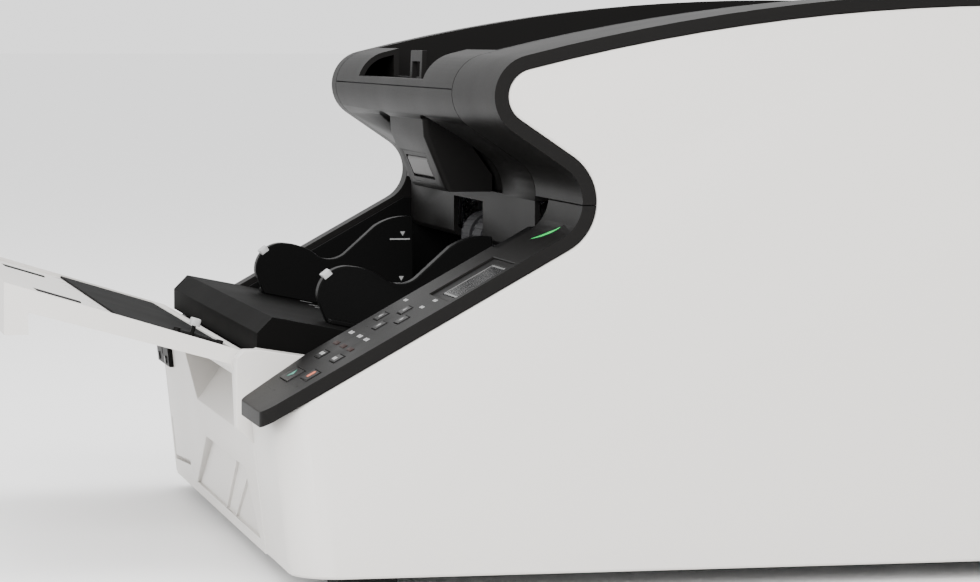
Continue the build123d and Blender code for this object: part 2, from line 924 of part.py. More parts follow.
keep(eject_tray, "eject_tray")

with BuildPart() as eject_stopper:
    with BuildSketch(side(path_x - stopper_w / 2)):
        patch((stopper_y - stopper_t / 2, stopper_z), (stopper_y + stopper_t / 2, stopper_z),
              (stopper_y + stopper_t / 2 + past, stopper_top),
              (stopper_y - stopper_t / 2 + past, stopper_top))
        with Locations((stopper_y, stopper_z)):
            Circle(stopper_t)
    extrude(amount=stopper_w)
    with BuildSketch(side(path_x - stopper_w / 2 - 1.5 * stopper_ear)):
        with Locations((stopper_y, stopper_z)):
            Circle(stopper_pin_r)
    extrude(amount=stopper_w + 3 * stopper_ear)
    with BuildSketch(facing(stopper_y - 2 * stopper_t)):
        with Locations((path_x, (stopper_z + stopper_top) / 2 + past)):
            Rectangle(stopper_hole_w, stopper_hole_h)
    extrude(amount=-4 * stopper_t, mode=Mode.SUBTRACT)
keep(eject_stopper, "eject_stopper")


# Front cover with its hand pocket, ribbed lower panel and hinge cheek

pocket_depth = pocket_top_z - pocket_z
pocket_back_y = front_y(pocket_z) + pocket_depth
lug_plane = Plane(origin=(cheek_left + lug_t, tray_hinge_y - mid_y, tray_hinge_z), z_dir=(1, 0, 0))


def front_form(corners, near_low, near_high, far_low, far_high):
    """Prism over corners of the front view, between two leaning faces given by their depths behind
    the front at the lower panel's foot and head."""
    with BuildPart() as form:
        with BuildSketch(facing(pocket_back_y)):
            patch(*corners)
        extrude(amount=2 * pocket_back_y)
        with BuildSketch(side(front_left)):
            patch(lean(near_low, panel_low_z - past), lean(near_high, panel_high_z + past),
                  lean(far_high, panel_high_z + past), lean(far_low, panel_low_z - past))
        extrude(amount=cheek_right - front_left, mode=Mode.INTERSECT)
    return form.part


with BuildPart() as hand_pocket:
    with BuildSketch(facing(pocket_back_y + past)):
        patch((-pocket_half, pocket_z), (pocket_half, pocket_z),
              (pocket_half + pocket_flare_right, pocket_top_z),
              (-pocket_half - pocket_flare_left, pocket_top_z))
    extrude(amount=2 * pocket_back_y)
    with BuildSketch(side(front_left)):
        patch((-pocket_back_y, pocket_z), lean(0, pocket_z), (pocket_back_y, pocket_top_z),
              (-pocket_back_y, pocket_top_z))
    extrude(amount=-2 * front_left, mode=Mode.INTERSECT)

panel_corners = (
    (cheek_right - panel_low_left, panel_low_z), (cheek_right - panel_low_right, panel_low_z),
    (cheek_right - panel_high_right, panel_high_z), (cheek_right - panel_high_left, panel_high_z)
)

groove_x = front_left + groove_w / 2

with BuildPart() as front_cover:
    with BuildSketch(side(front_left)):
        patch(lean(0, foot_h), lean(0, front_top_z), (pocket_back_y + skin, front_top_z),
              (pocket_back_y + skin, pocket_top_z - past), lean(front_t, pocket_z + 5 * past),
              lean(front_t, foot_h))
    extrude(amount=cheek_right - front_left)
    with BuildSketch(side(cheek_left)):
        patch((tray_hinge_y, tray_hinge_z - lug_r), (tray_hinge_y, tray_hinge_z + lug_r), (0, cheek_z),
              (cheek_back_y, cheek_z - cheek_fall), (cheek_back_y, front_top_z - past),
              lean(0, front_top_z - past), lean(0, front_top_z))
        with Locations((tray_hinge_y, tray_hinge_z)):
            Circle(lug_r)
    extrude(amount=lug_t)
    with BuildSketch(side(cheek_left + lug_t)):
        patch(lean(0, cheek_low_z), (cheek_front_y, cheek_low_z + 2 * cheek_fall),
              (cheek_front_y, cheek_z - cheek_fall), (cheek_front_y + cheek_fall, cheek_z), (0, cheek_z),
              (cheek_back_y, cheek_z - cheek_fall), (cheek_back_y, front_top_z - past),
              lean(front_t / 2, front_top_z - past), lean(front_t / 2, cheek_low_z))
    extrude(amount=cheek_right - cheek_left - lug_t)
    with Locations(lug_plane):
        Hole(tray_pin_r, depth=lug_t)
    add(hand_pocket.part, mode=Mode.SUBTRACT)
    add(front_form(panel_corners, -past, -past, panel_depth_low, panel_depth), mode=Mode.SUBTRACT)
    for high_in, low_in in rib_places:
        high_x = cheek_right - high_in
        low_x = cheek_right - low_in
        rib_corners = (
            (low_x - rib_w / 2, panel_low_z), (low_x + rib_w / 2, panel_low_z),
            (high_x + rib_w / 2, panel_high_z), (high_x - rib_w / 2, panel_high_z)
        )
        add(front_form(rib_corners, panel_depth_low - panel_rise, panel_depth - panel_rise,
                       panel_depth_low + past, panel_depth + past))
    with BuildSketch(facing(front_foot_y + groove_d)):
        patch((groove_x, groove_low_z), (groove_x + groove_l, groove_low_z + groove_rise),
              (groove_x + groove_l, groove_low_z + groove_rise + groove_d),
              (groove_x + groove_w, groove_low_z + groove_d), (groove_x + groove_w, groove_high_z),
              (groove_x, groove_high_z))
    extrude(amount=2 * groove_w, mode=Mode.SUBTRACT)
keep(front_cover, "front_cover")

bracket_left = front_left - lug_gap - band
bracket_ear_z = bracket_high_z - bracket_w / 6

with BuildPart() as tray_hinge_bracket:
    with BuildSketch(side(bracket_left)):
        patch(lean(-bracket_t, bracket_low_z), lean(-bracket_t, bracket_high_z), lean(0, bracket_high_z),
              lean(0, bracket_low_z))
    extrude(amount=bracket_w)
    with BuildSketch(facing(0)):
        with Locations((bracket_left + bracket_w / 2, bracket_low_z + bracket_slot_h)):
            Rectangle(bracket_slot_w, bracket_slot_h)
    extrude(amount=2 * cover_return, mode=Mode.SUBTRACT)
    with BuildSketch(side(front_left - lug_gap - skin)):
        patch((tray_hinge_y - lug_r, tray_hinge_z), lean(-bracket_t, bracket_ear_z), lean(0, bracket_ear_z),
              lean(0, bracket_high_z), (tray_hinge_y + lug_r, tray_hinge_z))
        with Locations((tray_hinge_y, tray_hinge_z)):
            Circle(lug_r)
            Circle(tray_pin_r, mode=Mode.SUBTRACT)
    extrude(amount=skin)
keep(tray_hinge_bracket, "tray_hinge_bracket")


# Feed tray: rims, floor and barrel, drawn along its slope from the hinge

tray_turn = radians(tray_slope)
tray_x = path_x - tray_w / 2
tray_len = (tray_hinge_y - tray_front_y) / cos(tray_turn)


def on_tray(u, v):
    """Point of the side view u out along the tray and v above its hinge line."""
    y = tray_hinge_y - u * cos(tray_turn) + v * sin(tray_turn)
    return (y, tray_hinge_z + u * sin(tray_turn) + v * cos(tray_turn))


def tray_strip(start, end, low, high):
    """Strip of the side view along the tray, in the sketch being built."""
    patch(on_tray(start, low), on_tray(end, low), on_tray(end, high), on_tray(start, high))


tray_top = tray_barrel_r
floor_top = tray_top - tray_floor_drop
floor_low = floor_top - tray_floor_t
tip_top_z = on_tray(tray_len, tray_top)[1]
lip_low_z = tip_top_z - lip_h
lip_back_y = tray_front_y + lip_t
tongue_top = floor_low - touch
tongue_low = tongue_top - tongue_t
lip_u = tray_len - lip_t / cos(tray_turn) - 4 * past
tray_end = tray_len + 8 * past
rib_low = tray_top - tray_root_edge
runner_planes = (side(path_x - tongue_w / 2 - runner_w - past), side(path_x + tongue_w / 2 + past))
runner_lip_planes = (side(path_x - tongue_w / 2 - runner_w - past), side(path_x + tongue_w / 2 - 2 * past))

with BuildPart() as feed_tray:
    with BuildSketch(side(tray_x)):
        patch(on_tray(0, tray_top), on_tray(tray_end, tray_top), on_tray(tray_end, tray_top - tray_edge),
              on_tray(tray_barrel_r, rib_low), on_tray(0, rib_low))
        window((tray_front_y, 0), (0, sky_z))
        with Locations((tray_hinge_y, tray_hinge_z)):
            Circle(tray_barrel_r)
    extrude(amount=tray_w)
    with BuildSketch(side(tray_x + tray_rim)):
        tray_strip(tray_barrel_r + past, lip_u, floor_top, tray_top + past)
        tray_strip(tray_barrel_r + skin, tray_end, -2 * tray_edge, floor_low)
    extrude(amount=tray_w - 2 * tray_rim, mode=Mode.SUBTRACT)
    with BuildSketch(side(tray_x)):
        patch((tray_front_y, lip_low_z), (tray_front_y, tip_top_z - tray_rim),
              (lip_back_y, tip_top_z - 2 * tray_rim), (lip_back_y, lip_low_z))
    extrude(amount=tray_w)
    with BuildSketch(side(tray_x + skin)):
        patch((tray_front_y + skin, lip_low_z),
              (tray_front_y + skin, on_tray(tray_len - skin, floor_low)[1]),
              (lip_back_y - skin, on_tray(tray_len - lip_t + skin, floor_low)[1]),
              (lip_back_y - skin, lip_low_z))
    extrude(amount=tray_w - 2 * skin, mode=Mode.SUBTRACT)
    with BuildSketch(side(path_x - tongue_w / 2 - past)):
        patch((tray_front_y - past, lip_low_z - past), on_tray(tray_len + 6 * past, floor_low),
              on_tray(tray_len - 2 * lip_t, floor_low), (lip_back_y + past, lip_low_z - past))
    extrude(amount=tongue_w + 2 * past, mode=Mode.SUBTRACT)
    with BuildSketch(*runner_planes):
        tray_strip(runner_start, lip_u, tongue_low - 1.5 * runner_lip, floor_low + past)
    extrude(amount=runner_w)
    with BuildSketch(*runner_lip_planes):
        tray_strip(runner_start, lip_u, tongue_low - 1.5 * runner_lip, tongue_low - 0.5 * runner_lip)
    extrude(amount=runner_w + 3 * past)
    with BuildSketch(*[side(path_x + s * tray_rib_pitch - rib_w / 2) for s in (-3, -2, 2, 3)]):
        tray_strip(tray_barrel_r, lip_u, rib_low, floor_low + past)
    extrude(amount=rib_w)
    with BuildSketch(side(tray_x)):
        with Locations((tray_hinge_y, tray_hinge_z)):
            Circle(tray_pin_r + fit)
    extrude(amount=tray_w, mode=Mode.SUBTRACT)
keep(feed_tray, "feed_tray")

with BuildPart() as tray_extension:
    with BuildSketch(side(path_x - tongue_w / 2)):
        tray_strip(tray_len - tongue_l, tray_len + 6 * past, tongue_low, tongue_top)
        patch((tray_front_y, lip_low_z), on_tray(tray_len + 4 * past, tongue_top),
              on_tray(tray_len - 6 * past, tongue_top), (lip_back_y - 2 * past, lip_low_z))
        window((tray_front_y, 0), (0, sky_z))
    extrude(amount=tongue_w)
    with BuildSketch(facing(tray_front_y)):
        with Locations((path_x, lip_low_z + grip_h)):
            SlotOverall(grip_w, grip_h)
    extrude(amount=-2 * lip_t, mode=Mode.SUBTRACT)
keep(tray_extension, "tray_extension")

with BuildPart() as tray_liner:
    with BuildSketch(side(tray_x + tray_rim + touch)):
        tray_strip(tray_barrel_r + past + touch, tray_barrel_r + liner_l, floor_top, floor_top + liner_t)
    extrude(amount=tray_w - 2 * tray_rim - 2 * touch)
keep(tray_liner, "tray_liner")


# Feed table, its guides and the well round it

def table_z(y):
    """Height of the table's top at y."""
    return table_top_z - (y - table_front_y - table_chamfer) * table_slope


def rail_face(room):
    """Cross rail of the guides, smaller by room all round, in the sketch being built."""
    side_y = rail_w / 2 - room
    low = table_z(rail_y) - rail_d + room
    window((rail_y - side_y, low), (rail_y + side_y, table_z(rail_y) + rail_d), mode=Mode.ADD)


table_x = path_x - table_w / 2
lift_places = [(path_x + s * bar_x, bar_y) for s in (-1, 1)]

with BuildPart() as feed_table:
    with BuildSketch(side(table_x)):
        patch((table_front_y, table_block_z), (table_front_y, table_top_z - table_chamfer),
              (table_front_y + table_chamfer, table_top_z), (table_back_y, table_z(table_back_y)),
              (table_back_y, table_z(table_back_y) - table_t),
              (table_block_y, table_z(table_block_y) - table_t), (table_block_y, table_block_z))
    extrude(amount=table_w)
    with BuildSketch(side(table_x + table_wall)):
        patch((table_front_y + table_wall, table_block_z),
              (table_front_y + table_wall, table_top_z - table_chamfer - table_t / 2),
              (table_front_y + table_wall + table_chamfer, table_top_z - table_t),
              (table_block_y - skin, table_z(table_block_y) - table_t),
              (table_block_y - skin, table_block_z))
    extrude(amount=table_w - 2 * table_wall, mode=Mode.SUBTRACT)
    with BuildSketch(side(table_x + rail_end)):
        rail_face(0)
    extrude(amount=table_w - 2 * rail_end, mode=Mode.SUBTRACT)
    with BuildSketch(level(bar_low_z)):
        with Locations(*lift_places):
            Rectangle(2 * bar_half, 2 * bar_half)
    extrude(amount=table_z(bar_y) - table_t / 2 - bar_low_z)
keep(feed_table, "feed_table")


def guide(face_x, out):
    """Document guide: inner face at face_x, foot on the out side (-1 or 1)."""
    plate_x = min(face_x, face_x + out * guide_t)
    foot_x0 = min(face_x, face_x + out * (guide_t + guide_foot))
    seat = touch / 2
    with BuildPart() as plate:
        with BuildSketch(side(plate_x)):
            with BuildLine() as run:
                ThreePointArc(guide_low, guide_brow, guide_hump)
                ThreePointArc(guide_hump, guide_fall, guide_dip_start)
                ThreePointArc(guide_dip_start, guide_dip, guide_dip_end)
                Line(guide_dip_end, guide_rise)
                ThreePointArc(guide_rise, guide_crest, guide_back)
                Polyline(guide_back, (guide_back[0], table_z(guide_back[0]) + seat),
                         (guide_foot_y, table_z(guide_foot_y) + seat), guide_low)
            make_face(run.edges())
        extrude(amount=guide_t)
        with BuildSketch(side(foot_x0)):
            patch((guide_foot_y, table_z(guide_foot_y) + seat),
                  (guide_foot_y, table_z(guide_foot_y) + guide_foot_t),
                  (guide_back[0], table_z(guide_back[0]) + guide_foot_t),
                  (guide_back[0], table_z(guide_back[0]) + seat))
        extrude(amount=guide_t + guide_foot)
        with BuildSketch(side(foot_x0 + 2 * past)):
            rail_face(touch)
        extrude(amount=guide_t + guide_foot - 4 * past)
    return plate


keep(guide(path_x + guide_half, 1), "guide_right")
keep(guide(path_x - guide_half, -1), "guide_left")

well_left = table_x - well_gap
well_right = cheek_left + 2 * skin
wall_foot_y = cheek_back_y + past
well_side = (
    (wall_foot_y, well_step_z), (wall_foot_y, bar_z(wall_foot_y, ledge_high)),
    (well_ledge_y, bar_z(well_ledge_y, ledge_high)), (well_back_y + skin, bar_z(well_ledge_y, ledge_high)),
    (well_back_y + skin, well_z), (well_step_y, well_z), (well_step_y, well_step_z)
)

with BuildPart() as feed_well:
    with BuildSketch(side(well_left)):
        patch((well_front_y, well_step_z), (well_front_y, well_step_z + skin),
              (well_step_y + skin, well_step_z + skin), (well_step_y + skin, well_z + skin),
              (well_back_y, well_z + skin), (well_back_y, well_back_z), (well_back_y + skin, well_back_z),
              (well_back_y + skin, well_z), (well_step_y, well_z), (well_step_y, well_step_z))
    extrude(amount=well_right - well_left)
    with BuildSketch(level(well_z)):
        window((cheek_left - touch, 0), (well_right + past, wall_foot_y), mode=Mode.ADD)
    extrude(amount=cheek_z - well_z, mode=Mode.SUBTRACT)
    with BuildSketch(side(well_left)):
        patch(*well_side)
    extrude(amount=skin - past)
    with BuildSketch(side(well_right - skin)):
        patch(*well_side)
    extrude(amount=skin)
    with BuildSketch(side(well_right - past)):
        patch((wall_foot_y, bar_z(wall_foot_y, ledge_low)), (wall_foot_y, bar_z(wall_foot_y, ledge_high)),
              (well_ledge_y, bar_z(well_ledge_y, ledge_high)),
              (well_ledge_y, bar_z(well_ledge_y, ledge_low)))
    extrude(amount=bar_left - well_right + past - touch)
    with BuildSketch(level(well_z - past)):
        with Locations(*lift_places):
            Rectangle(2 * bar_half + 2 * touch, 2 * bar_half + 2 * touch)
    extrude(amount=2 * skin, mode=Mode.SUBTRACT)
keep(feed_well, "feed_well")


# Rollers

def roller(y, z, radius, tyre, centres, x_low, x_high, pulley=False):
    """Shaft from x_low to x_high with tyres of a given radius and length, and a belt pulley if asked."""
    with BuildPart() as turned:
        with BuildSketch(side(x_low)):
            with Locations((y, z)):
                Circle(shaft_r)
        extrude(amount=x_high - x_low)
        with BuildSketch(*[side(x - tyre / 2) for x in centres]):
            with Locations((y, z)):
                Circle(radius)
        extrude(amount=tyre)
        if pulley:
            with BuildSketch(side(pulley_x)):
                with Locations((y, z)):
                    Circle(pulley_r)
            extrude(amount=pulley_w)
    return turned


low_left = frame_left + plate_t + touch
low_right = frame_right - plate_t - touch
up_left = upper_left + plate_t
up_right = upper_right - plate_t
feed_pair = [path_x + s * feed_tyre_pitch / 2 for s in (-1, 1)]
drive_pair = [path_x + s * drive_tyre_pitch / 2 for s in (-1, 1)]
drive_z = path_z - nip / 2 - drive_r
idler_z = path_z + nip / 2 + drive_r
feed_z = path_z + nip / 2 + feed_r
separation_z = path_z - nip / 2 - feed_r
pulley_x = frame_right + pulley_gap
pulley_end = pulley_x + pulley_w

keep(roller(feed_y, separation_z, feed_r, feed_tyre, feed_pair, frame_left, frame_right),
     "separation_roller")
keep(roller(front_drive_y, drive_z, drive_r, drive_tyre, drive_pair, frame_left, pulley_end, True),
     "drive_roller_front")
keep(roller(rear_drive_y, drive_z, drive_r, drive_tyre, drive_pair, frame_left, pulley_end, True),
     "drive_roller_rear")
keep(roller(feed_y, feed_z, feed_r, feed_tyre, feed_pair, upper_left, upper_right), "feed_roller")
keep(roller(pickup_y, pickup_z, pickup_r, feed_tyre, feed_pair, path_x - arm_x, path_x + arm_x),
     "pickup_roller")
keep(roller(front_drive_y, idler_z, drive_r, drive_tyre, drive_pair, upper_left, upper_right),
     "idler_roller_front")
keep(roller(rear_drive_y, idler_z, drive_r, drive_tyre, drive_pair, upper_left, upper_right),
     "idler_roller_rear")
keep(roller(eject_y, eject_z, eject_r, drive_tyre, drive_pair, upper_left, upper_right), "eject_roller")


# Lower frame with its guide plate, turn guide and sensor

def tyre_windows(y, centres, tyre, half_y):
    """Openings for the tyres of a roller in a guide plate."""
    half_x = tyre / 2 + 2 * past
    for x in centres:
        window((x - half_x, y - half_y), (x + half_x, y + half_y), mode=Mode.SUBTRACT)


def path_windows():
    """Openings for the tyres and the sensor glass in a guide plate."""
    tyre_windows(feed_y, feed_pair, feed_tyre, feed_window)
    tyre_windows(front_drive_y, drive_pair, drive_tyre, drive_window)
    tyre_windows(rear_drive_y, drive_pair, drive_tyre, drive_window)
    sensor_half = glass_w / 2 + touch
    window((sensor_x + glass_end - touch, sensor_y - sensor_half),
           (sensor_x + sensor_l - glass_end + touch, sensor_y + sensor_half), mode=Mode.SUBTRACT)


sensor_x = path_x - sensor_l / 2

with BuildPart() as lower_frame:
    with BuildSketch(side(frame_left), side(frame_right - plate_t)):
        patch((frame_front_y, base_z), (frame_back_y, base_z), (frame_back_y, frame_rear_z),
              (frame_step_y, frame_rear_z), (frame_step_y, path_z), (frame_front_y, path_z))
        bearing_slots([(feed_y, separation_z), (front_drive_y, drive_z), (rear_drive_y, drive_z)],
                      path_z + past)
    extrude(amount=plate_t)
    with BuildSketch(level(base_z)):
        window((frame_left, frame_front_y), (frame_right, frame_back_y), mode=Mode.ADD)
    extrude(amount=plate_t)
    with BuildSketch(side(frame_left + plate_t), side(frame_right - plate_t - catch_l)):
        with Locations((catch_y, catch_z)):
            Circle(catch_r)
    extrude(amount=catch_l)
    with BuildSketch(side(frame_right - plate_t)):
        with Locations((motor_y, motor_z)):
            Circle(shaft_r + fit)
    extrude(amount=plate_t, mode=Mode.SUBTRACT)
keep(lower_frame, "lower_frame")

with BuildPart() as lower_guide_plate:
    with BuildSketch(level(lower_top - plate_t)):
        window((low_left, feed_y), (low_right, turn_y), mode=Mode.ADD)
        window((side_left, plate_front_y), (side_right, feed_y), mode=Mode.ADD)
        path_windows()
    extrude(amount=plate_t)
    with BuildSketch(level(lower_top - plate_drop)):
        window((side_left, plate_front_y), (side_right, plate_front_y + plate_t), mode=Mode.ADD)
    extrude(amount=plate_drop)
keep(lower_guide_plate, "lower_guide_plate")


def turn_face(r_in, r_out, start, end):
    """Part ring round the turn's centre, in the sketch being built."""
    centre = (turn_y, turn_z)
    a, m, b = radians(start), radians((start + end) / 2), radians(end)
    with BuildLine() as run:
        ThreePointArc(polar(centre, r_out, a), polar(centre, r_out, m), polar(centre, r_out, b))
        Line(polar(centre, r_out, b), polar(centre, r_in, b))
        ThreePointArc(polar(centre, r_in, b), polar(centre, r_in, m), polar(centre, r_in, a))
        Line(polar(centre, r_in, a), polar(centre, r_out, a))
    make_face(run.edges())


turn_out = turn_z - lower_top
turn_in = turn_z - upper_low

with BuildPart() as turn_guide:
    with BuildSketch(side(low_left)):
        turn_face(turn_out, turn_out + turn_guide_t, turn_start, turn_end)
    extrude(amount=low_right - low_left)
    with BuildSketch(*[side(path_x + s * drive_tyre_pitch - rib_w / 2) for s in (-1, 0, 1)]):
        turn_face(turn_out, turn_out + turn_guide_t + turn_guide_rib, turn_start, turn_end)
    extrude(amount=rib_w)
keep(turn_guide, "turn_guide")

with BuildPart() as lower_scan_unit:
    with BuildSketch(side(sensor_x)):
        window((sensor_y - sensor_w / 2, lower_top - plate_t - sensor_h),
               (sensor_y + sensor_w / 2, lower_top - plate_t), mode=Mode.ADD)
        window((sensor_y - glass_w / 2, lower_top - glass_t), (sensor_y + glass_w / 2, lower_top),
               mode=Mode.SUBTRACT)
    extrude(amount=sensor_l)
    chamfer(lower_scan_unit.faces().sort_by(Axis.Z)[0].edges().filter_by(Axis.X), length=sensor_edge)
keep(lower_scan_unit, "lower_scan_unit")

with BuildPart() as lower_scan_glass:
    with BuildSketch(side(sensor_x + glass_end)):
        window((sensor_y - glass_w / 2, lower_top - glass_t), (sensor_y + glass_w / 2, lower_top),
               mode=Mode.ADD)
    extrude(amount=sensor_l - 2 * glass_end)
keep(lower_scan_glass, "lower_scan_glass")


# Upper frame with its guide plate, arms of the pickup roller and sensor

upper_floor_z = upper_low - 2 * past
room = shaft_r + fit

with BuildPart() as upper_frame:
    with BuildSketch(side(upper_left), side(upper_right - plate_t)):
        patch((frame_front_y - band, upper_floor_z), (turn_y, upper_floor_z),
              (hinge_y + hinge_lug_r, pickup_window_z),
              (hinge_y + hinge_lug_r, hinge_z - hood_gap), (turn_y, hinge_z - hood_gap),
              (floor_back_y + 2 * past, eject_slot_z - hinge_lug_r), floor_point(floor_back_y, -skin),
              floor_point(wall_front_y, -skin), (wall_front_y, lip_z + 2 * past))
        with Locations((hinge_y, hinge_z)):
            Circle(hinge_lug_r)
        bores([(hinge_y, hinge_z)], hinge_pin_r + fit)
        bores([(latch_y, latch_z)], room)
        bearing_slots([(feed_y, feed_z), (front_drive_y, idler_z), (rear_drive_y, idler_z)],
                      upper_floor_z - past)
        bearing_slots([(eject_y, eject_z)], hinge_z)
    extrude(amount=plate_t)
    with BuildSketch(level(upper_low)):
        window((up_left, feed_y), (up_right, turn_y), mode=Mode.ADD)
        window((side_left, throat_back_y + past), (side_right, feed_y), mode=Mode.ADD)
        path_windows()
        window((path_x - arm_x - flange_edge, throat_back_y),
               (path_x + arm_x + flange_edge, plate_front_y + past), mode=Mode.SUBTRACT)
    extrude(amount=plate_t)
    with BuildSketch(side(up_left)):
        turn_face(turn_in - plate_t, turn_in, turn_start, turn_top_end)
    extrude(amount=up_right - up_left)
    with BuildSketch(level(beam_z)):
        window((up_left, beam_low_y), (up_right, beam_high_y), mode=Mode.ADD)
    extrude(amount=plate_t)
    with BuildSketch(*[side(path_x + s * (arm_x - arm_w / 2) - arm_w / 2) for s in (-1, 1)]):
        patch((pickup_y, pickup_z - arm_half), (feed_y - room, feed_z - arm_half),
              (feed_y - room, feed_z + room), (feed_y + room, feed_z + room),
              (feed_y + room, feed_z - arm_half), (arm_back_y, feed_z),
              (arm_back_y, beam_z), (beam_low_y, beam_z), (pickup_y, pickup_z + arm_half))
        with Locations((pickup_y, pickup_z)):
            Circle(arm_half)
        bores([(pickup_y, pickup_z)], room)
    extrude(amount=arm_w)
keep(upper_frame, "upper_frame")

with BuildPart() as upper_scan_unit:
    with BuildSketch(side(sensor_x)):
        window((sensor_y - sensor_w / 2, upper_low + plate_t),
               (sensor_y + sensor_w / 2, upper_low + plate_t + sensor_h), mode=Mode.ADD)
        window((sensor_y - glass_w / 2, upper_low), (sensor_y + glass_w / 2, upper_low + glass_t),
               mode=Mode.SUBTRACT)
    extrude(amount=sensor_l)
    chamfer(upper_scan_unit.faces().sort_by(Axis.Z)[-1].edges().filter_by(Axis.X), length=sensor_edge)
keep(upper_scan_unit, "upper_scan_unit")

with BuildPart() as upper_scan_glass:
    with BuildSketch(side(sensor_x + glass_end)):
        window((sensor_y - glass_w / 2, upper_low), (sensor_y + glass_w / 2, upper_low + glass_t),
               mode=Mode.ADD)
    extrude(amount=sensor_l - 2 * glass_end)
keep(upper_scan_glass, "upper_scan_glass")

with BuildPart() as feed_motor:
    with BuildSketch(side(up_right - feed_motor_l)):
        with Locations((feed_motor_y, feed_motor_z)):
            Circle(feed_motor_r)
    extrude(amount=feed_motor_l)
    with BuildSketch(side(up_right - skin)):
        with Locations((feed_motor_y, feed_motor_z)):
            Rectangle(2 * (feed_motor_r + flange_edge), 2 * feed_motor_r - flange_edge)
    extrude(amount=skin)
keep(feed_motor, "feed_motor")

toe_z = catch_z - catch_r - touch
hook_back_y = catch_y - catch_r - touch

with BuildPart() as latch_hooks:
    with BuildSketch(side(upper_left)):
        with Locations((latch_y, latch_z)):
            Circle(shaft_r)
    extrude(amount=upper_right - upper_left)
    with BuildSketch(side(up_left + past), side(up_right - hook_t - past)):
        patch((hook_back_y - hook_w, latch_z - shaft_r), (hook_back_y - hook_w + past, toe_z - toe_h),
              (catch_y + catch_r, toe_z - toe_h), (catch_y + catch_r, toe_z), (hook_back_y, toe_z),
              (hook_back_y, catch_z + lip_t), (latch_y + arm_half, latch_z - shaft_r),
              (latch_y + arm_half, latch_z + arm_half), (latch_y - shaft_r, latch_z + arm_half))
    extrude(amount=hook_t)
keep(latch_hooks, "latch_hooks")


# Drive, boards and supply

with BuildPart() as main_motor:
    with BuildSketch(side(frame_right - plate_t - motor_l)):
        with Locations((motor_y, motor_z)):
            Circle(motor_r)
    extrude(amount=motor_l)
    with BuildSketch(side(frame_right - plate_t)):
        with Locations((motor_y, motor_z)):
            Circle(shaft_r)
    extrude(amount=pulley_end - frame_right + plate_t)
    with BuildSketch(side(pulley_x)):
        with Locations((motor_y, motor_z)):
            Circle(pulley_r)
    extrude(amount=pulley_w)
keep(main_motor, "main_motor")

belt_stops = [(front_drive_y, drive_z), (rear_drive_y, drive_z), (motor_y, motor_z)]


def belt_loop(radius):
    """Prism inside a loop of the given radius round the three pulleys."""
    with BuildPart() as loop:
        with BuildSketch(side(pulley_x + past / 2)):
            with Locations(*belt_stops):
                Circle(radius)
            make_hull()
        extrude(amount=pulley_w - past)
    return loop.part


with BuildPart() as drive_belt:
    add(belt_loop(pulley_r + touch + belt_t))
    add(belt_loop(pulley_r + touch), mode=Mode.SUBTRACT)
keep(drive_belt, "drive_belt")

board_y = rear_y - board_back - board_l
board_mid_y = board_y + board_l / 2
board_face_x = frame_right + chip_h + board_t

with BuildPart() as main_board:
    with BuildSketch(side(frame_right + chip_h)):
        window((board_y, board_z), (board_y + board_l, board_z + board_h), mode=Mode.ADD)
    extrude(amount=board_t)
    with BuildSketch(side(frame_right)):
        with Locations((board_mid_y, board_z + board_h / 2)):
            with GridLocations(board_l - 4 * skin, board_h - 4 * skin, 2, 2):
                Rectangle(2 * skin, 2 * skin)
    extrude(amount=chip_h)
    with BuildSketch(side(board_face_x)):
        with Locations((board_mid_y, board_z + board_h - chip_row)):
            with GridLocations(chip_pitch, 1, 4, 1):
                Rectangle(chip_w, chip_w)
        with Locations((board_mid_y, board_z + plug_row)):
            with GridLocations(plug_pitch, 1, 5, 1):
                Rectangle(plug_w, plug_h)
    extrude(amount=chip_h)
keep(main_board, "main_board")

supply_x = frame_right + supply_gap
supply_y = rear_y - supply_back - supply_l

with BuildPart() as power_supply:
    with BuildSketch(level(base_z)):
        window((supply_x, supply_y), (supply_x + supply_w, supply_y + supply_l), mode=Mode.ADD)
    extrude(amount=supply_h)
    with BuildSketch(level(base_z + supply_h)):
        with Locations((supply_x + supply_w / 2, supply_y + supply_l / 2)):
            with GridLocations(supply_w / 6, 1, 5, 1):
                Rectangle(flange_edge, supply_slot_l)
    extrude(amount=-skin, mode=Mode.SUBTRACT)
keep(power_supply, "power_supply")


# Rear cover with its vents, inlet, switch and data port

rear_x = half - skin
inlet_x = half - inlet_in
switch_x = half - switch_in
data_x = half - data_in
screw_places = [(s * (half - screw_in), screw_z) for s in (-1, 1)]
switch_pivot_y = rear_y - switch_pivot

with BuildPart() as rear_cover:
    with BuildSketch(level(foot_h)):
        window((-rear_x, cover_back_y + seam), (rear_x, rear_y), mode=Mode.ADD)
    extrude(amount=top_z)
    fillet(rear_cover.faces().sort_by(Axis.Y)[-1].edges().filter_by(Axis.Z), radius=rear_r)
    with BuildSketch(level(foot_h + wall)):
        window((wall - rear_x, cover_back_y), (rear_x - wall, rear_y - wall), mode=Mode.ADD)
    extrude(amount=top_z, mode=Mode.SUBTRACT)
    with BuildSketch(side(-rear_x)):
        closed_face(-touch)
    extrude(amount=2 * rear_x, mode=Mode.INTERSECT)
    with BuildSketch(back(rear_y)):
        with Locations((-half / 2, vent_z), (half / 2, vent_z), (0, vent_z + vent_rise)):
            with GridLocations(vent_pitch, 1, vent_count, 1):
                Rectangle(vent_w, vent_h)
        with Locations((-inlet_x, port_z)):
            Rectangle(inlet_w, inlet_h)
        with Locations((-switch_x, port_z)):
            Rectangle(switch_w + 2 * touch, switch_h + 2 * touch)
        with Locations((-data_x, port_z)):
            Rectangle(data_w, data_h)
        with Locations(*screw_places):
            Circle(screw_head_r + touch)
    extrude(amount=-wall, mode=Mode.SUBTRACT)
keep(rear_cover, "rear_cover")

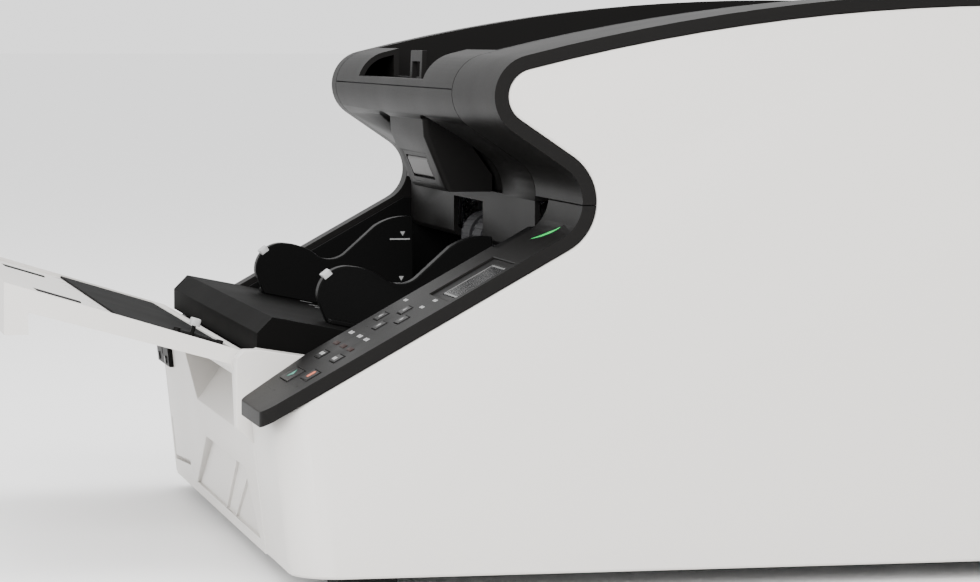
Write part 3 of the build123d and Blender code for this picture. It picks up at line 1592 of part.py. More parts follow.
inlet_half = inlet_w / 2 - inlet_wall
inlet_up = inlet_h / 2 - inlet_wall
inlet_low = inlet_depth + inlet_wall

with BuildPart() as power_inlet:
    with BuildSketch(back(rear_y - inlet_low)):
        with Locations((-inlet_x, port_z)):
            Rectangle(inlet_w, inlet_h)
    extrude(amount=inlet_low - seam)
    with BuildSketch(back(rear_y)):
        patch((-inlet_x - inlet_half, port_z - inlet_up), (-inlet_x + inlet_half, port_z - inlet_up),
              (-inlet_x + inlet_half, port_z + inlet_up - inlet_cut),
              (-inlet_x + inlet_half - inlet_cut, port_z + inlet_up),
              (-inlet_x - inlet_half + inlet_cut, port_z + inlet_up),
              (-inlet_x - inlet_half, port_z + inlet_up - inlet_cut))
    extrude(amount=-inlet_depth, mode=Mode.SUBTRACT)
    with BuildSketch(back(rear_y - inlet_depth - past)):
        with Locations((-inlet_x, port_z + blade_h / 2), (-inlet_x - blade_pitch, port_z - blade_h / 2),
                       (-inlet_x + blade_pitch, port_z - blade_h / 2)):
            Rectangle(blade_w, blade_h)
    extrude(amount=inlet_depth - flange_edge)
keep(power_inlet, "power_inlet")

with BuildPart() as data_port:
    with BuildSketch(back(rear_y - data_depth - seam)):
        with Locations((-data_x, port_z)):
            Rectangle(data_w, data_h)
    extrude(amount=data_depth)
    with BuildSketch(back(rear_y)):
        with Locations((-data_x, port_z)):
            Rectangle(data_w - 2 * past, data_h - 2 * past)
    extrude(amount=-data_depth + skin, mode=Mode.SUBTRACT)
    with BuildSketch(back(rear_y - data_depth + skin - past)):
        with Locations((-data_x, port_z)):
            Rectangle(data_w - 7 * past, data_h - 7 * past)
    extrude(amount=data_depth / 2)
keep(data_port, "data_port")

with BuildPart() as power_switch:
    with BuildSketch(side(switch_x - switch_w / 2)):
        patch((switch_pivot_y + 5 * past, port_z + switch_half), (switch_pivot_y + 4 * past, port_z),
              (switch_pivot_y + 7 * past, port_z - switch_half),
              (switch_pivot_y - 4 * past, port_z - 6 * past),
              (switch_pivot_y - 4 * past, port_z + 6 * past))
    extrude(amount=switch_w)
    with BuildSketch(side(switch_x - switch_w / 2 - switch_pin_l)):
        with Locations((switch_pivot_y, port_z)):
            Circle(switch_pin_r)
    extrude(amount=switch_w + 2 * switch_pin_l)
keep(power_switch, "power_switch")

with BuildPart() as cover_screws:
    with BuildSketch(back(rear_y - wall - past)):
        with Locations(*screw_places):
            Circle(screw_head_r)
    extrude(amount=wall + past - touch)
keep(cover_screws, "cover_screws")


# Base, feet and hinge pins

pan_x = half - pan_in
foot_places = [(s * foot_x, y) for s in (-1, 1) for y in (foot_front_y, foot_back_y)]

with BuildPart() as base_pan:
    with BuildSketch(level(foot_h)):
        window((-pan_x, pan_front_y), (pan_x, cover_back_y - past), mode=Mode.ADD)
    extrude(amount=pan_h)
    with BuildSketch(level(base_z)):
        window((2 * past - pan_x, pan_front_y + 2 * past), (pan_x - 2 * past, cover_back_y - 3 * past),
               mode=Mode.ADD)
    extrude(amount=pan_h, mode=Mode.SUBTRACT)
    with BuildSketch(level(foot_h)):
        with Locations((-slot_x, slot_y), (slot_x, slot_y)):
            with GridLocations(slot_pitch, 1, slot_count, 1):
                Rectangle(slot_w, slot_l)
    extrude(amount=base_z - foot_h, mode=Mode.SUBTRACT)
keep(base_pan, "base_pan")

with BuildPart() as rubber_feet:
    with BuildSketch(level(0)):
        with Locations(*foot_places):
            Rectangle(foot_w, foot_w)
    extrude(amount=foot_h)
    chamfer(rubber_feet.faces().group_by(Axis.Z)[0].edges(), length=soft_edge)
    with BuildSketch(level(0)):
        with Locations(*foot_places):
            Circle(foot_bore)
    extrude(amount=foot_h / 2, mode=Mode.SUBTRACT)
keep(rubber_feet, "rubber_feet")

tray_pin_l = pin_l + cheek_left + lug_t - tray_x - tray_w

with BuildPart() as hinge_pins:
    with BuildSketch(side(front_left - lug_gap - skin), side(tray_x + tray_w - pin_l)):
        with Locations((tray_hinge_y, tray_hinge_z)):
            Circle(tray_pin_r)
    extrude(amount=tray_pin_l)
    with BuildSketch(side(unit_left - seam - trim_wall), side(unit_right + seam + trim_wall - pin_l)):
        with Locations((hinge_y, hinge_z)):
            Circle(hinge_pin_r)
    extrude(amount=pin_l)
keep(hinge_pins, "hinge_pins")
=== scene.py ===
"""A sheet-fed document scanner in off-white and charcoal plastic, its feed tray open.

Metres, in the CAD's frame: +X the user's right, +Y the back, +Z up. Small pieces are measured in
millimetres and brought to metres by MM or by add_form.
"""
import json
from math import atan2, cos, hypot, radians, sin, tan

import bmesh
import bpy
from mathutils import Matrix, Vector

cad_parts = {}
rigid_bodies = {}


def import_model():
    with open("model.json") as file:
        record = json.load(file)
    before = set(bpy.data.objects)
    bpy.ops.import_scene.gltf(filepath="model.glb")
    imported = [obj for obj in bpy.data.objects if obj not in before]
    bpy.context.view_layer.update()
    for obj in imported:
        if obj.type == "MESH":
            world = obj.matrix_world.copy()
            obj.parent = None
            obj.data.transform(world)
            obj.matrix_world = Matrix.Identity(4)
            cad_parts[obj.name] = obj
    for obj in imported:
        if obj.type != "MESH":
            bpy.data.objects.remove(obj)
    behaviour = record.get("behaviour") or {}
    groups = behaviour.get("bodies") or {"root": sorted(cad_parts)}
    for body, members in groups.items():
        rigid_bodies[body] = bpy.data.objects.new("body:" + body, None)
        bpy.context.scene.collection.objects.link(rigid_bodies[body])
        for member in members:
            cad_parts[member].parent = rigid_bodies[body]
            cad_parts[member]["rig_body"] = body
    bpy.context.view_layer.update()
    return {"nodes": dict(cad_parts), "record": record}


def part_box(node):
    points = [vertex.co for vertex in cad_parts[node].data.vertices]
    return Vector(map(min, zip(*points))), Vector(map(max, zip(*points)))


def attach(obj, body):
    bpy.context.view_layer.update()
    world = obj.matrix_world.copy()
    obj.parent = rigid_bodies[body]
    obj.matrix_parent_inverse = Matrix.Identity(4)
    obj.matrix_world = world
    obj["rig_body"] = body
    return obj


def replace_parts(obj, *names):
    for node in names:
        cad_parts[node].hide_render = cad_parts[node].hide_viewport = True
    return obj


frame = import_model()

MM = 0.001
FRONT_FOOT = -219 * MM  # the front cover's foot lies here on Y
MIDDLE = -44.5  # the sheet path's middle on X, in mm
BAR_TURN = radians(29.2)  # slope of the control bar
BAR_ORIGIN = Vector((0, FRONT_FOOT, 98.09 * MM))
TRAY_TURN = radians(16.9)  # slope of the open feed tray
TRAY_HINGE = (-7, 105.5)  # y and z of its hinge line, in mm
TABLE_FALL = 0.2  # the feed table's slope down towards the back
TABLE_TURN = radians(-11.31)  # its angle
INK = 0.1  # a printed mark stands this far up, in mm
KEY_TOP = 0.5  # the keys stand this far out of the control bar, in mm
NOISE_MEAN = 0.5  # what a noise node gives on average


# Shader sockets with arithmetic, and one method for every node

class Value:
    """A socket of a material; sums, products and comparisons of it add Math nodes."""

    def __init__(self, finish, socket):
        self.finish = finish
        self.socket = socket

    def maths(self, operation, first, second):
        return self.finish.node("ShaderNodeMath", {"operation": operation}, {0: first, 1: second})

    def __add__(self, other):
        return self.maths("ADD", self, other)

    __radd__ = __add__

    def __sub__(self, other):
        return self.maths("SUBTRACT", self, other)

    def __rsub__(self, other):
        return self.maths("SUBTRACT", other, self)

    def __mul__(self, other):
        return self.maths("MULTIPLY", self, other)

    __rmul__ = __mul__

    def __gt__(self, other):
        return self.maths("GREATER_THAN", self, other)


class Finish:
    """A material round one Principled shader."""

    def __init__(self, name, **constants):
        self.material = bpy.data.materials.new(name)
        self.material.use_nodes = True
        self.tree = self.material.node_tree
        self.shader = self.tree.nodes["Principled BSDF"]
        for key, value in constants.items():
            self.shader.inputs[key.replace("_", " ")].default_value = value
        self.place = self.node("ShaderNodeTexCoord", output="Object")

    def node(self, kind, settings=None, inputs=None, output=0):
        """Add a node, set its properties and sockets, and return one of its outputs."""
        made = self.tree.nodes.new(kind)
        for key, value in (settings or {}).items():
            setattr(made, key, value)
        for key, value in (inputs or {}).items():
            self.feed(made.inputs[key], value)
        return Value(self, made.outputs[output])

    def feed(self, socket, value):
        """Link a varying value to a socket, or set the socket to a constant."""
        if isinstance(value, Value):
            self.tree.links.new(value.socket, socket)
        else:
            socket.default_value = value

    def surface(self, key, value):
        self.feed(self.shader.inputs[key], value)

    def noise(self, scale, detail=2.0, stretch=None, roughness=0.5):
        where = self.place
        if stretch:
            where = self.node("ShaderNodeMapping", None, {"Vector": self.place, "Scale": stretch})
        return self.node("ShaderNodeTexNoise", None,
                         {"Vector": where, "Scale": scale, "Detail": detail, "Roughness": roughness})

    def blend(self, factor, first, second):
        """Mix two colours; 0, 6 and 7 are the factor and the colour sockets of the node."""
        return self.node("ShaderNodeMix", {"data_type": "RGBA"}, {0: factor, 6: first, 7: second}, 2)

    def bump(self, height, distance):
        return self.node("ShaderNodeBump", None,
                         {"Height": height, "Distance": distance, "Strength": 1.0})


def shade(colour, factor):
    """The colour made lighter or darker, with its alpha."""
    return tuple(min(1.0, c * factor) for c in colour[:3]) + (1.0,)


def moulded(name, colour, roughness, grain, depth, uneven, **constants):
    """Moulded plastic: a fine spark grain, faint flow marks and finger-dulled patches."""
    finish = Finish(name, **constants)
    fine = finish.noise(grain, 2.0)
    coarse = finish.noise(grain / 4, 3.0)
    flow = finish.noise(5.0, 4.0, (1.0, 0.4, 1.6), 0.6)
    patches = finish.noise(14.0, 3.0, None, 0.55)
    finish.surface("Base Color",
                   finish.blend(flow, shade(colour, 1 - uneven), shade(colour, 1 + uneven)))
    finish.surface("Roughness",
                   roughness + 0.10 * (patches - NOISE_MEAN) + 0.08 * (fine - NOISE_MEAN))
    finish.surface("Normal", finish.bump(fine + 0.6 * coarse, depth))
    return finish.material


def ink(name, colour, **constants):
    """Printed colour, flatter and smoother than the plastic under it."""
    return moulded(name, colour, 0.5, 900.0, 0.000005, 0.05, **constants)


def rolled_steel(name, colour, roughness, stretch):
    """Metal with fine lines along one direction."""
    finish = Finish(name, Metallic=1.0)
    lines = finish.noise(900.0, 3.0, stretch)
    stains = finish.noise(18.0, 4.0)
    finish.surface("Base Color", finish.blend(stains, shade(colour, 0.9), shade(colour, 1.08)))
    finish.surface("Roughness",
                   roughness + 0.18 * (lines - NOISE_MEAN) + 0.1 * (stains - NOISE_MEAN))
    finish.surface("Normal", finish.bump(lines, 0.00001))
    return finish.material


def ground_rubber(name, colour, stretch):
    """Rubber with a matte skin and fine grinding lines."""
    finish = Finish(name, Specular_IOR_Level=0.2)
    lines = finish.noise(1200.0, 2.0, stretch)
    dust = finish.noise(40.0, 4.0)
    finish.surface("Base Color", finish.blend(dust, shade(colour, 0.85), shade(colour, 1.25)))
    finish.surface("Roughness", 0.72 + 0.16 * (lines - NOISE_MEAN))
    finish.surface("Normal", finish.bump(lines, 0.00004))
    return finish.material


def window_glass(name, colour, alpha):
    """Dark clear sheet with faint wipe marks."""
    finish = Finish(name, Alpha=alpha, Coat_Weight=0.2, Coat_Roughness=0.05, Specular_IOR_Level=0.3)
    wipes = finish.noise(30.0, 4.0, (1.0, 3.0, 3.0))
    finish.surface("Base Color", finish.blend(wipes, shade(colour, 0.9), shade(colour, 1.1)))
    finish.surface("Roughness", 0.06 + 0.1 * wipes)
    return finish.material


def lit_plastic(name, colour, strength):
    """Light guide that glows unevenly over its grain."""
    finish = Finish(name, Emission_Strength=strength)
    cells = finish.noise(160.0, 2.0)
    finish.surface("Base Color", finish.blend(cells, shade(colour, 0.8), shade(colour, 1.1)))
    finish.surface("Emission Color", finish.blend(cells, shade(colour, 0.7), shade(colour, 1.2)))
    finish.surface("Roughness", 0.3 + 0.1 * cells)
    return finish.material


def coated_board(name):
    """Green circuit board with lighter tracks under its coating."""
    finish = Finish(name, Coat_Weight=0.3)
    grid = finish.node("ShaderNodeTexBrick", {"offset": 0.5},
                       {"Vector": finish.place, "Scale": 60.0, "Mortar Size": 0.03,
                        "Color1": (0.01, 0.12, 0.04, 1), "Color2": (0.015, 0.16, 0.05, 1),
                        "Mortar": (0.05, 0.3, 0.1, 1)})
    finish.surface("Base Color", grid)
    finish.surface("Roughness", 0.3 + 0.1 * finish.noise(80.0))
    return finish.material


def pierced_sheet(name, colour):
    """Painted sheet with a close field of round holes that are not cut; each hole is painted near-black as
    painted shade.
    """
    finish = Finish(name, Metallic=0.3)
    cells = finish.node("ShaderNodeTexVoronoi", {"feature": "F1"},
                        {"Vector": finish.place, "Scale": 420.0, "Randomness": 0.0})
    solid = cells > 0.34
    # painted shade: the hole colour is near-black to show the dark inside seen through each hole
    painted_hole_shade = (0.002, 0.002, 0.002, 1)
    finish.surface("Base Color", finish.blend(solid, painted_hole_shade, shade(colour, 1.0)))
    finish.surface("Roughness", 0.9 - 0.45 * solid)
    finish.surface("Normal", finish.bump(solid, 0.0003))
    return finish.material


# Looks of the CAD's slots, then those of single pieces

looks = {
    "white_plastic": moulded("white_plastic", (0.55, 0.533, 0.510), 0.40, 1500.0, 0.000012, 0.012),
    "dark_plastic": moulded("dark_plastic", (0.0072, 0.0069, 0.0067), 0.44, 1600.0, 0.00002, 0.06,
                            Specular_IOR_Level=0.03),
    "well_plastic": moulded("well_plastic", (0.0032, 0.0032, 0.0032), 0.42, 1300.0, 0.00003, 0.08,
                            Specular_IOR_Level=0.03),
    "key_plastic": moulded("key_plastic", (0.0075, 0.0072, 0.0072), 0.40, 1700.0, 0.00001, 0.05,
                           Specular_IOR_Level=0.05),
    "display": window_glass("display", (0.05, 0.05, 0.051), 0.8),
    "light_green": lit_plastic("light_green", (0.0, 0.42, 0.07), 1.1),
    "scan_glass": window_glass("scan_glass", (0.5, 0.55, 0.55), 0.35),
    "steel": rolled_steel("steel", (0.56, 0.56, 0.57), 0.28, (0.05, 1.0, 1.0)),
    "sheet_metal": rolled_steel("sheet_metal", (0.50, 0.50, 0.50), 0.40, (1.0, 0.05, 1.0)),
    "roller_rubber": ground_rubber("roller_rubber", (0.022, 0.022, 0.024), (1.0, 0.05, 0.05)),
    "belt_rubber": ground_rubber("belt_rubber", (0.012, 0.012, 0.012), (0.05, 1.0, 1.0)),
    "foot_rubber": ground_rubber("foot_rubber", (0.010, 0.010, 0.010), (1.0, 1.0, 1.0)),
    "board": coated_board("board"),
    "casing": rolled_steel("casing", (0.62, 0.62, 0.63), 0.35, (1.0, 1.0, 0.05)),
}
button_grey = moulded("button_grey", (0.045, 0.044, 0.043), 0.42, 1500.0, 0.00001, 0.03,
                      Specular_IOR_Level=0.08)
table_black = moulded("table_black", (0.0035, 0.0034, 0.0033), 0.60, 1500.0, 0.00001, 0.06,
                      Specular_IOR_Level=0.01)
pale_grey = moulded("pale_grey", (0.33, 0.33, 0.33), 0.36, 1500.0, 0.00001, 0.03)
rim_grey = moulded("rim_grey", (0.10, 0.10, 0.10), 0.4, 1500.0, 0.00001, 0.03)
print_white = ink("print_white", (0.24, 0.24, 0.24))
print_teal = ink("print_teal", (0.02, 0.20, 0.14))
print_orange = ink("print_orange", (0.42, 0.07, 0.02))
print_grey = ink("print_grey", (0.30, 0.30, 0.31))
lamp_amber = ink("lamp_amber", (0.016, 0.007, 0.006), Specular_IOR_Level=0.05)
light_strip = lit_plastic("light_strip", (0.75, 0.78, 0.76), 0.15)
dark_steel = rolled_steel("dark_steel", (0.06, 0.06, 0.06), 0.38, (1.0, 1.0, 1.0))
contact_brass = rolled_steel("contact_brass", (0.72, 0.52, 0.22), 0.30, (1.0, 0.05, 1.0))
vent_mesh = pierced_sheet("vent_mesh", (0.05, 0.05, 0.05))
hub_plastic = moulded("hub_plastic", (0.22, 0.22, 0.22), 0.45, 900.0, 0.00002, 0.05)
own_looks = {"release_button": button_grey, "feed_table": table_black, "tray_liner": table_black}


# CAD pieces: merged copies with softened edges

SHADE_LIMIT = radians(32)  # a sharper edge stays sharp in the shading
EDGE_LIMIT = radians(38)  # a sharper edge is rounded
FLAT_LIMIT = radians(0.3)  # faces that meet flatter than this are merged
INNER_EDGE = 0.15  # share of the rounding that an inside corner gets
MERGE_GAP = 0.002  # vertices closer than this are one, in mm

slots = {part["node"]: part["material_slot"] for part in frame["record"]["subparts"]}
rounded = {  # width of the rounded edge, in mm
    "right_side_panel": 0.5, "left_side_panel": 0.5, "front_cover": 0.6, "rear_cover": 0.4,
    "feed_tray": 0.6, "tray_extension": 0.5, "nose_cover": 0.8, "eject_tray": 0.6,
    "right_upper_trim": 1.0, "left_trim": 1.0, "control_housing": 0.9, "rear_top_cover": 0.5,
    "feed_table": 0.6, "guide_right": 0.6, "guide_left": 0.6, "feed_well": 0.4,
    "tray_hinge_bracket": 0.4, "button_bezel": 0.3, "eject_stopper": 0.4, "power_switch": 0.4,
    "release_button": 0.8, "start_key": 0.5, "stop_key": 0.5, "clear_key": 0.5, "menu_key": 0.5,
    "left_key": 0.5, "down_key": 0.5, "up_key": 0.5, "right_key": 0.5, "latch_hooks": 0.3,
    "power_inlet": 0.4, "rubber_feet": 0.6, "lower_scan_unit": 0.5, "upper_scan_unit": 0.5,
    "power_supply": 0.4, "feed_motor": 0.4, "main_motor": 0.4,
}


def finished(mesh, name, body, material):
    """Put a mesh in the scene as a piece of the scanner."""
    piece = bpy.data.objects.new(name, mesh)
    bpy.context.scene.collection.objects.link(piece)
    mesh.materials.clear()
    mesh.materials.append(material)
    mesh.shade_smooth()
    mesh.set_sharp_from_angle(angle=SHADE_LIMIT)
    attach(piece, body)
    return piece


def dress(node):
    """Show a CAD node as a merged copy with its material; the outer ones get rounded edges."""
    source = frame["nodes"][node]
    slot_name = slots[node]
    material = own_looks.get(node, looks[slot_name])
    shape = bmesh.new()
    shape.from_mesh(source.data)
    bmesh.ops.remove_doubles(shape, verts=shape.verts, dist=MERGE_GAP * MM)
    bmesh.ops.dissolve_limit(shape, angle_limit=FLAT_LIMIT, verts=shape.verts, edges=shape.edges)
    weights = shape.edges.layers.float.new("bevel_weight_edge")
    for edge in shape.edges:
        if edge.is_manifold and edge.calc_face_angle() > EDGE_LIMIT:
            edge[weights] = 1.0 if edge.is_convex else INNER_EDGE
    mesh = bpy.data.meshes.new(node + "_skin")
    shape.to_mesh(mesh)
    shape.free()
    piece = finished(mesh, node + "_skin", source["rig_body"], material)
    if node in rounded:
        edge = piece.modifiers.new("edge", "BEVEL")
        edge.width = rounded[node] * MM
        edge.segments = 2
        edge.limit_method = "WEIGHT"
        edge.harden_normals = True
    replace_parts(piece, node)


# Places on the scanner

def at(x, y, z):
    """Point in metres from millimetres, y measured back from the front cover's foot."""
    return Vector((x * MM, FRONT_FOOT + y * MM, z * MM))


def placed(point, turn_x=0.0, turn_y=0.0, turn_z=0.0):
    """Matrix that stands a piece at a point, turned about X, then Y, then Z."""
    turned = (Matrix.Rotation(turn_z, 4, "Z") @ Matrix.Rotation(turn_y, 4, "Y")
              @ Matrix.Rotation(turn_x, 4, "X"))
    return Matrix.Translation(point) @ turned


def above_bar(up):
    """Step of so many millimetres along the normal of the control bar's face."""
    return Vector((0, -sin(BAR_TURN), cos(BAR_TURN))) * up * MM


def on_bar(x, y, up=0.0, turn=0.0):
    """Matrix on the control bar's sloping face, up along its normal."""
    foot = BAR_ORIGIN + Vector((x * MM, y * MM, y * MM * tan(BAR_TURN)))
    return (Matrix.Translation(foot + above_bar(up)) @ Matrix.Rotation(BAR_TURN, 4, "X")
            @ Matrix.Rotation(turn, 4, "Z"))


def on_tray(x, out, up):
    """Matrix on the feed tray, out from its hinge and up from the hinge line."""
    hinge = at(x, *TRAY_HINGE)
    along = Vector((0, -cos(TRAY_TURN), sin(TRAY_TURN))) * out * MM
    lift = Vector((0, sin(TRAY_TURN), cos(TRAY_TURN))) * up * MM
    return Matrix.Translation(hinge + along + lift) @ Matrix.Rotation(-TRAY_TURN, 4, "X")


# Forms of small pieces, built in millimetres at the origin

def add_form(shape, form, matrix):
    """Move a closed form to its place and add it to a shape."""
    bmesh.ops.recalc_face_normals(form, faces=form.faces)
    form.transform(matrix @ Matrix.Scale(MM, 4))
    mesh = bpy.data.meshes.new("form")
    form.to_mesh(mesh)
    form.free()
    shape.from_mesh(mesh)
    bpy.data.meshes.remove(mesh)


def verts_of(geom):
    """The vertices among what an operator made."""
    return [g for g in geom if isinstance(g, bmesh.types.BMVert)]


def raise_faces(form, faces, height):
    """Pull flat faces along Z, walls and all, and return the vertices that moved."""
    moved = verts_of(bmesh.ops.extrude_face_region(form, geom=faces)["geom"])
    bmesh.ops.translate(form, vec=(0, 0, height), verts=moved)
    return moved


def break_edges(form, edges, width):
    """Break edges by that width."""
    bmesh.ops.bevel(form, geom=edges, offset=width, offset_type="OFFSET", segments=2, profile=0.5,
                    affect="EDGES", material=-1)


def oblong(length, breadth):
    """New form with one flat oblong face, and the vertices of that face."""
    form = bmesh.new()
    corners = bmesh.ops.create_grid(form, x_segments=1, y_segments=1, size=0.5)["verts"]
    bmesh.ops.scale(form, vec=(length, breadth, 1), verts=corners)
    return form, corners


def rounded_plate(shape, matrix, size, corner, edge=0.0, corner_steps=3):
    """Plate of length, breadth and height with rounded corners, its top edge broken."""
    length, breadth, height = size
    form, corners = oblong(length, breadth)
    bmesh.ops.bevel(form, geom=corners, offset=corner, offset_type="OFFSET",
                    segments=corner_steps, profile=0.5, affect="VERTICES", material=-1)
    form.faces.ensure_lookup_table()
    top = set(raise_faces(form, [form.faces[0]], height))
    if edge:
        break_edges(form, [e for e in form.edges if top.issuperset(e.verts)], edge)
    add_form(shape, form, matrix)


def stripe(shape, matrix, length, breadth, corner=0.3):
    """Flat printed line."""
    rounded_plate(shape, matrix, (length, breadth, INK), corner, corner_steps=2)


def arrow(shape, matrix, radius):
    """Flat three-cornered mark, its point along the matrix's +Y."""
    form = bmesh.new()
    bmesh.ops.create_circle(form, cap_ends=True, segments=3, radius=radius)
    form.faces.ensure_lookup_table()
    raise_faces(form, [form.faces[0]], INK)
    add_form(shape, form, matrix)


def flat_rim(shape, matrix, form, breadth, height):
    """Rim of that breadth along the edge of a form's one face."""
    form.faces.ensure_lookup_table()
    inner = form.faces[0]
    bmesh.ops.inset_region(form, faces=[inner], thickness=breadth, use_boundary=True,
                           use_even_offset=True)
    bmesh.ops.delete(form, geom=[inner], context="FACES")
    raise_faces(form, form.faces[:], height)
    add_form(shape, form, matrix)


def turned_piece(shape, matrix, radius, length, inset, edge):
    """Round piece along the matrix's +Z, its end dished by an inset and its edge broken."""
    form = bmesh.new()
    bmesh.ops.create_cone(form, cap_ends=True, segments=20, radius1=radius, radius2=radius,
                          depth=length, matrix=Matrix.Translation((0, 0, length / 2)))
    end = max(form.faces, key=lambda f: f.calc_center_median().z)
    break_edges(form, list(end.edges), edge)
    end = max(form.faces, key=lambda f: (round(f.calc_center_median().z, 4), f.calc_area()))
    bmesh.ops.inset_region(form, faces=[end], thickness=inset, depth=-0.2,
                           use_even_offset=True)
    add_form(shape, form, matrix)


def screw_head(shape, matrix, radius, height):
    """Pan head with a cross recess, its top along the matrix's +Z."""
    form = bmesh.new()
    bmesh.ops.create_grid(form, x_segments=7, y_segments=7, size=radius)
    arm, reach, recess = radius * 0.16, radius * 0.68, height * 0.6
    cross = [f for f in form.faces for c in (f.calc_center_median(),)
             if (abs(c.x) < arm and abs(c.y) < reach) or (abs(c.y) < arm and abs(c.x) < reach)]
    rim = [e for e in form.edges if e.is_boundary]
    for v in {v for e in rim for v in e.verts}:
        v.co.xy = v.co.xy.normalized() * radius
    raise_faces(form, cross, -recess)
    rim = [e for e in form.edges if e.is_boundary]
    low = verts_of(bmesh.ops.extrude_edge_only(form, edges=rim)["geom"])
    bmesh.ops.translate(form, vec=(0, 0, -height), verts=low)
    bmesh.ops.contextual_create(form, geom=[e for e in form.edges if e.is_boundary])
    add_form(shape, form, matrix)


def tyre_blank(radius, length, steps):
    """Plain cylinder about the Z axis, its middle at the origin."""
    form = bmesh.new()
    bmesh.ops.create_cone(form, cap_ends=True, segments=steps, radius1=radius, radius2=radius,
                          depth=length)
    return form


def dish_ends(form, ends, radius, depth):
    """Sink a tyre's ends towards the hub."""
    bmesh.ops.inset_individual(form, faces=ends, thickness=radius * 0.3, depth=-depth,
                               use_even_offset=True)


def ribbed_tyre(shape, matrix, radius, length, treads):
    """Rubber tyre along the matrix's Z: every second pad of its tread sunk, its ends dished."""
    form = tyre_blank(radius, length, 2 * treads)
    bmesh.ops.recalc_face_normals(form, faces=form.faces)
    ends = [f for f in form.faces if abs(f.normal.z) > 0.5]
    pads = sorted((f for f in form.faces if abs(f.normal.z) < 0.5),
                  key=lambda f: atan2(f.calc_center_median().y, f.calc_center_median().x))
    bmesh.ops.inset_individual(form, faces=pads[::2], thickness=0.12, depth=-0.55,
                               use_even_offset=True)
    dish_ends(form, ends, radius, 0.8)
    add_form(shape, form, matrix)


def smooth_tyre(shape, matrix, radius, length):
    """Ground rubber tyre along the matrix's Z with broken edges and dished ends."""
    form = tyre_blank(radius, length, 48)
    ends = sorted(form.faces, key=lambda f: -f.calc_area())[:2]
    break_edges(form, [e for f in ends for e in f.edges], 0.5)
    bmesh.ops.recalc_face_normals(form, faces=form.faces)
    ends = [f for f in form.faces if len(f.verts) > 8]
    dish_ends(form, ends, radius, 0.6)
    add_form(shape, form, matrix)


def make_piece(name, body, slot_name, material, build, *measures):
    """One piece of the scene from a function that fills an empty shape by its measures."""
    shape = bmesh.new()
    build(shape, *measures)
    mesh = bpy.data.meshes.new(name)
    shape.to_mesh(mesh)
    shape.free()
    return finished(mesh, name, body, material)


for node in frame["nodes"]:
    if node != "cover_screws":  # screws with a recess stand for them below
        dress(node)


# Prints and lamps on the control bar and its keys

def print_blocks(shape, matrix, lengths, breadth, gap):
    """Row of small printed blocks along the matrix's X."""
    start = -(sum(lengths) + gap * (len(lengths) - 1)) / 2
    for length in lengths:
        spot = matrix @ Matrix.Translation(((start + length / 2) * MM, 0, 0))
        rounded_plate(shape, spot, (length, breadth, 0.12), 0.3, 0.03, 2)
        start += length + gap


def bar_prints(shape):
    for x, y in ((160.5, 43.6), (184.6, 43.6), (204.4, 43.4)):
        print_blocks(shape, on_bar(x, y), (3.0, 1.2, 3.6), 2.2, 0.8)
    for x, y in ((158.3, 71.5), (204.1, 71.0), (207.0, 77.0)):
        print_blocks(shape, on_bar(x, y), (3.4, 3.4), 1.8, 0.9)


def bar_line(shape):
    for x, y, length in ((178.0, -0.6, 36.0), (217.0, 6.6, 9.0), (166.0, 50.0, 9.0)):
        stripe(shape, on_bar(x, y), length, 0.9, 0.4)


def lamp_windows(shape):
    for x in (166.0, 186.0, 206.0):
        rounded_plate(shape, on_bar(x, 35.2), (12.0, 2.8, 0.35), 1.2, 0.12, 4)


def display_rim(shape):
    """Pale line round the display window, proud of the window's middle."""
    form, _ = oblong(31.4, 28.0)
    low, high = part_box("display_window")
    centre = (Vector(low) + Vector(high)) / 2
    spot = Matrix.Translation(centre + above_bar(0.8)) @ Matrix.Rotation(BAR_TURN, 4, "X")
    flat_rim(shape, spot, form, 0.9, 0.15)


make_piece("bar_prints", "main_body", "key_plastic", print_white, bar_prints)
make_piece("bar_line", "main_body", "well_plastic", looks["well_plastic"], bar_line)
make_piece("lamp_windows", "main_body", "key_plastic", lamp_amber, lamp_windows)
make_piece("display_rim", "main_body", "display", rim_grey, display_rim)

for key, x, y, turn in (("left", 164.0, 58.0, 90), ("down", 187.0, 53.0, 180),
                        ("up", 186.0, 66.0, 0), ("right", 207.0, 60.5, -90)):
    make_piece(key + "_arrow", key + "_button", "key_plastic", print_white,
               arrow, on_bar(x, y, KEY_TOP, radians(turn)), 1.9)
make_piece("start_mark", "start_button", "key_plastic", print_teal,
           arrow, on_bar(182.0, 10.7, KEY_TOP, radians(-90)), 3.6)
make_piece("stop_mark", "stop_button", "key_plastic", print_orange,
           rounded_plate, on_bar(214.0, 14.9, KEY_TOP), (5.0, 5.0, 0.12), 1.4, 0.03, 4)
for key, x, y, lengths in (("clear", 174.0, 26.8, (2.6, 1.4, 2.6)),
                           ("menu", 208.0, 27.4, (3.0, 3.0))):
    make_piece(key + "_mark", key + "_button", "key_plastic", print_white,
               print_blocks, on_bar(x, y, KEY_TOP), lengths, 2.2, 1.0)


# Guides: pale caps on their humps and filling marks on the left one's inner face

def guide_cap(shape, x):
    rounded_plate(shape, placed(at(x, 46.9, 144.6), radians(38)), (9.0, 5.2, 3.0), 0.8, 0.5)


def filling_marks(shape):
    """Two arrows that point down, each at its line."""
    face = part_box("guide_left")[1].x

    def on_face(y, z):
        return placed(Vector((face, 0, 0)) + at(0, y, z), radians(90), 0, radians(90))

    for y, z in ((127.6, 155.2), (126.8, 129.0)):
        arrow(shape, on_face(y, z) @ Matrix.Rotation(radians(180), 4, "Z"), 1.7)
    for y, z, length in ((126.0, 151.6, 12.0), (124.0, 125.6, 8.0)):
        stripe(shape, on_face(y, z), length, 0.8)


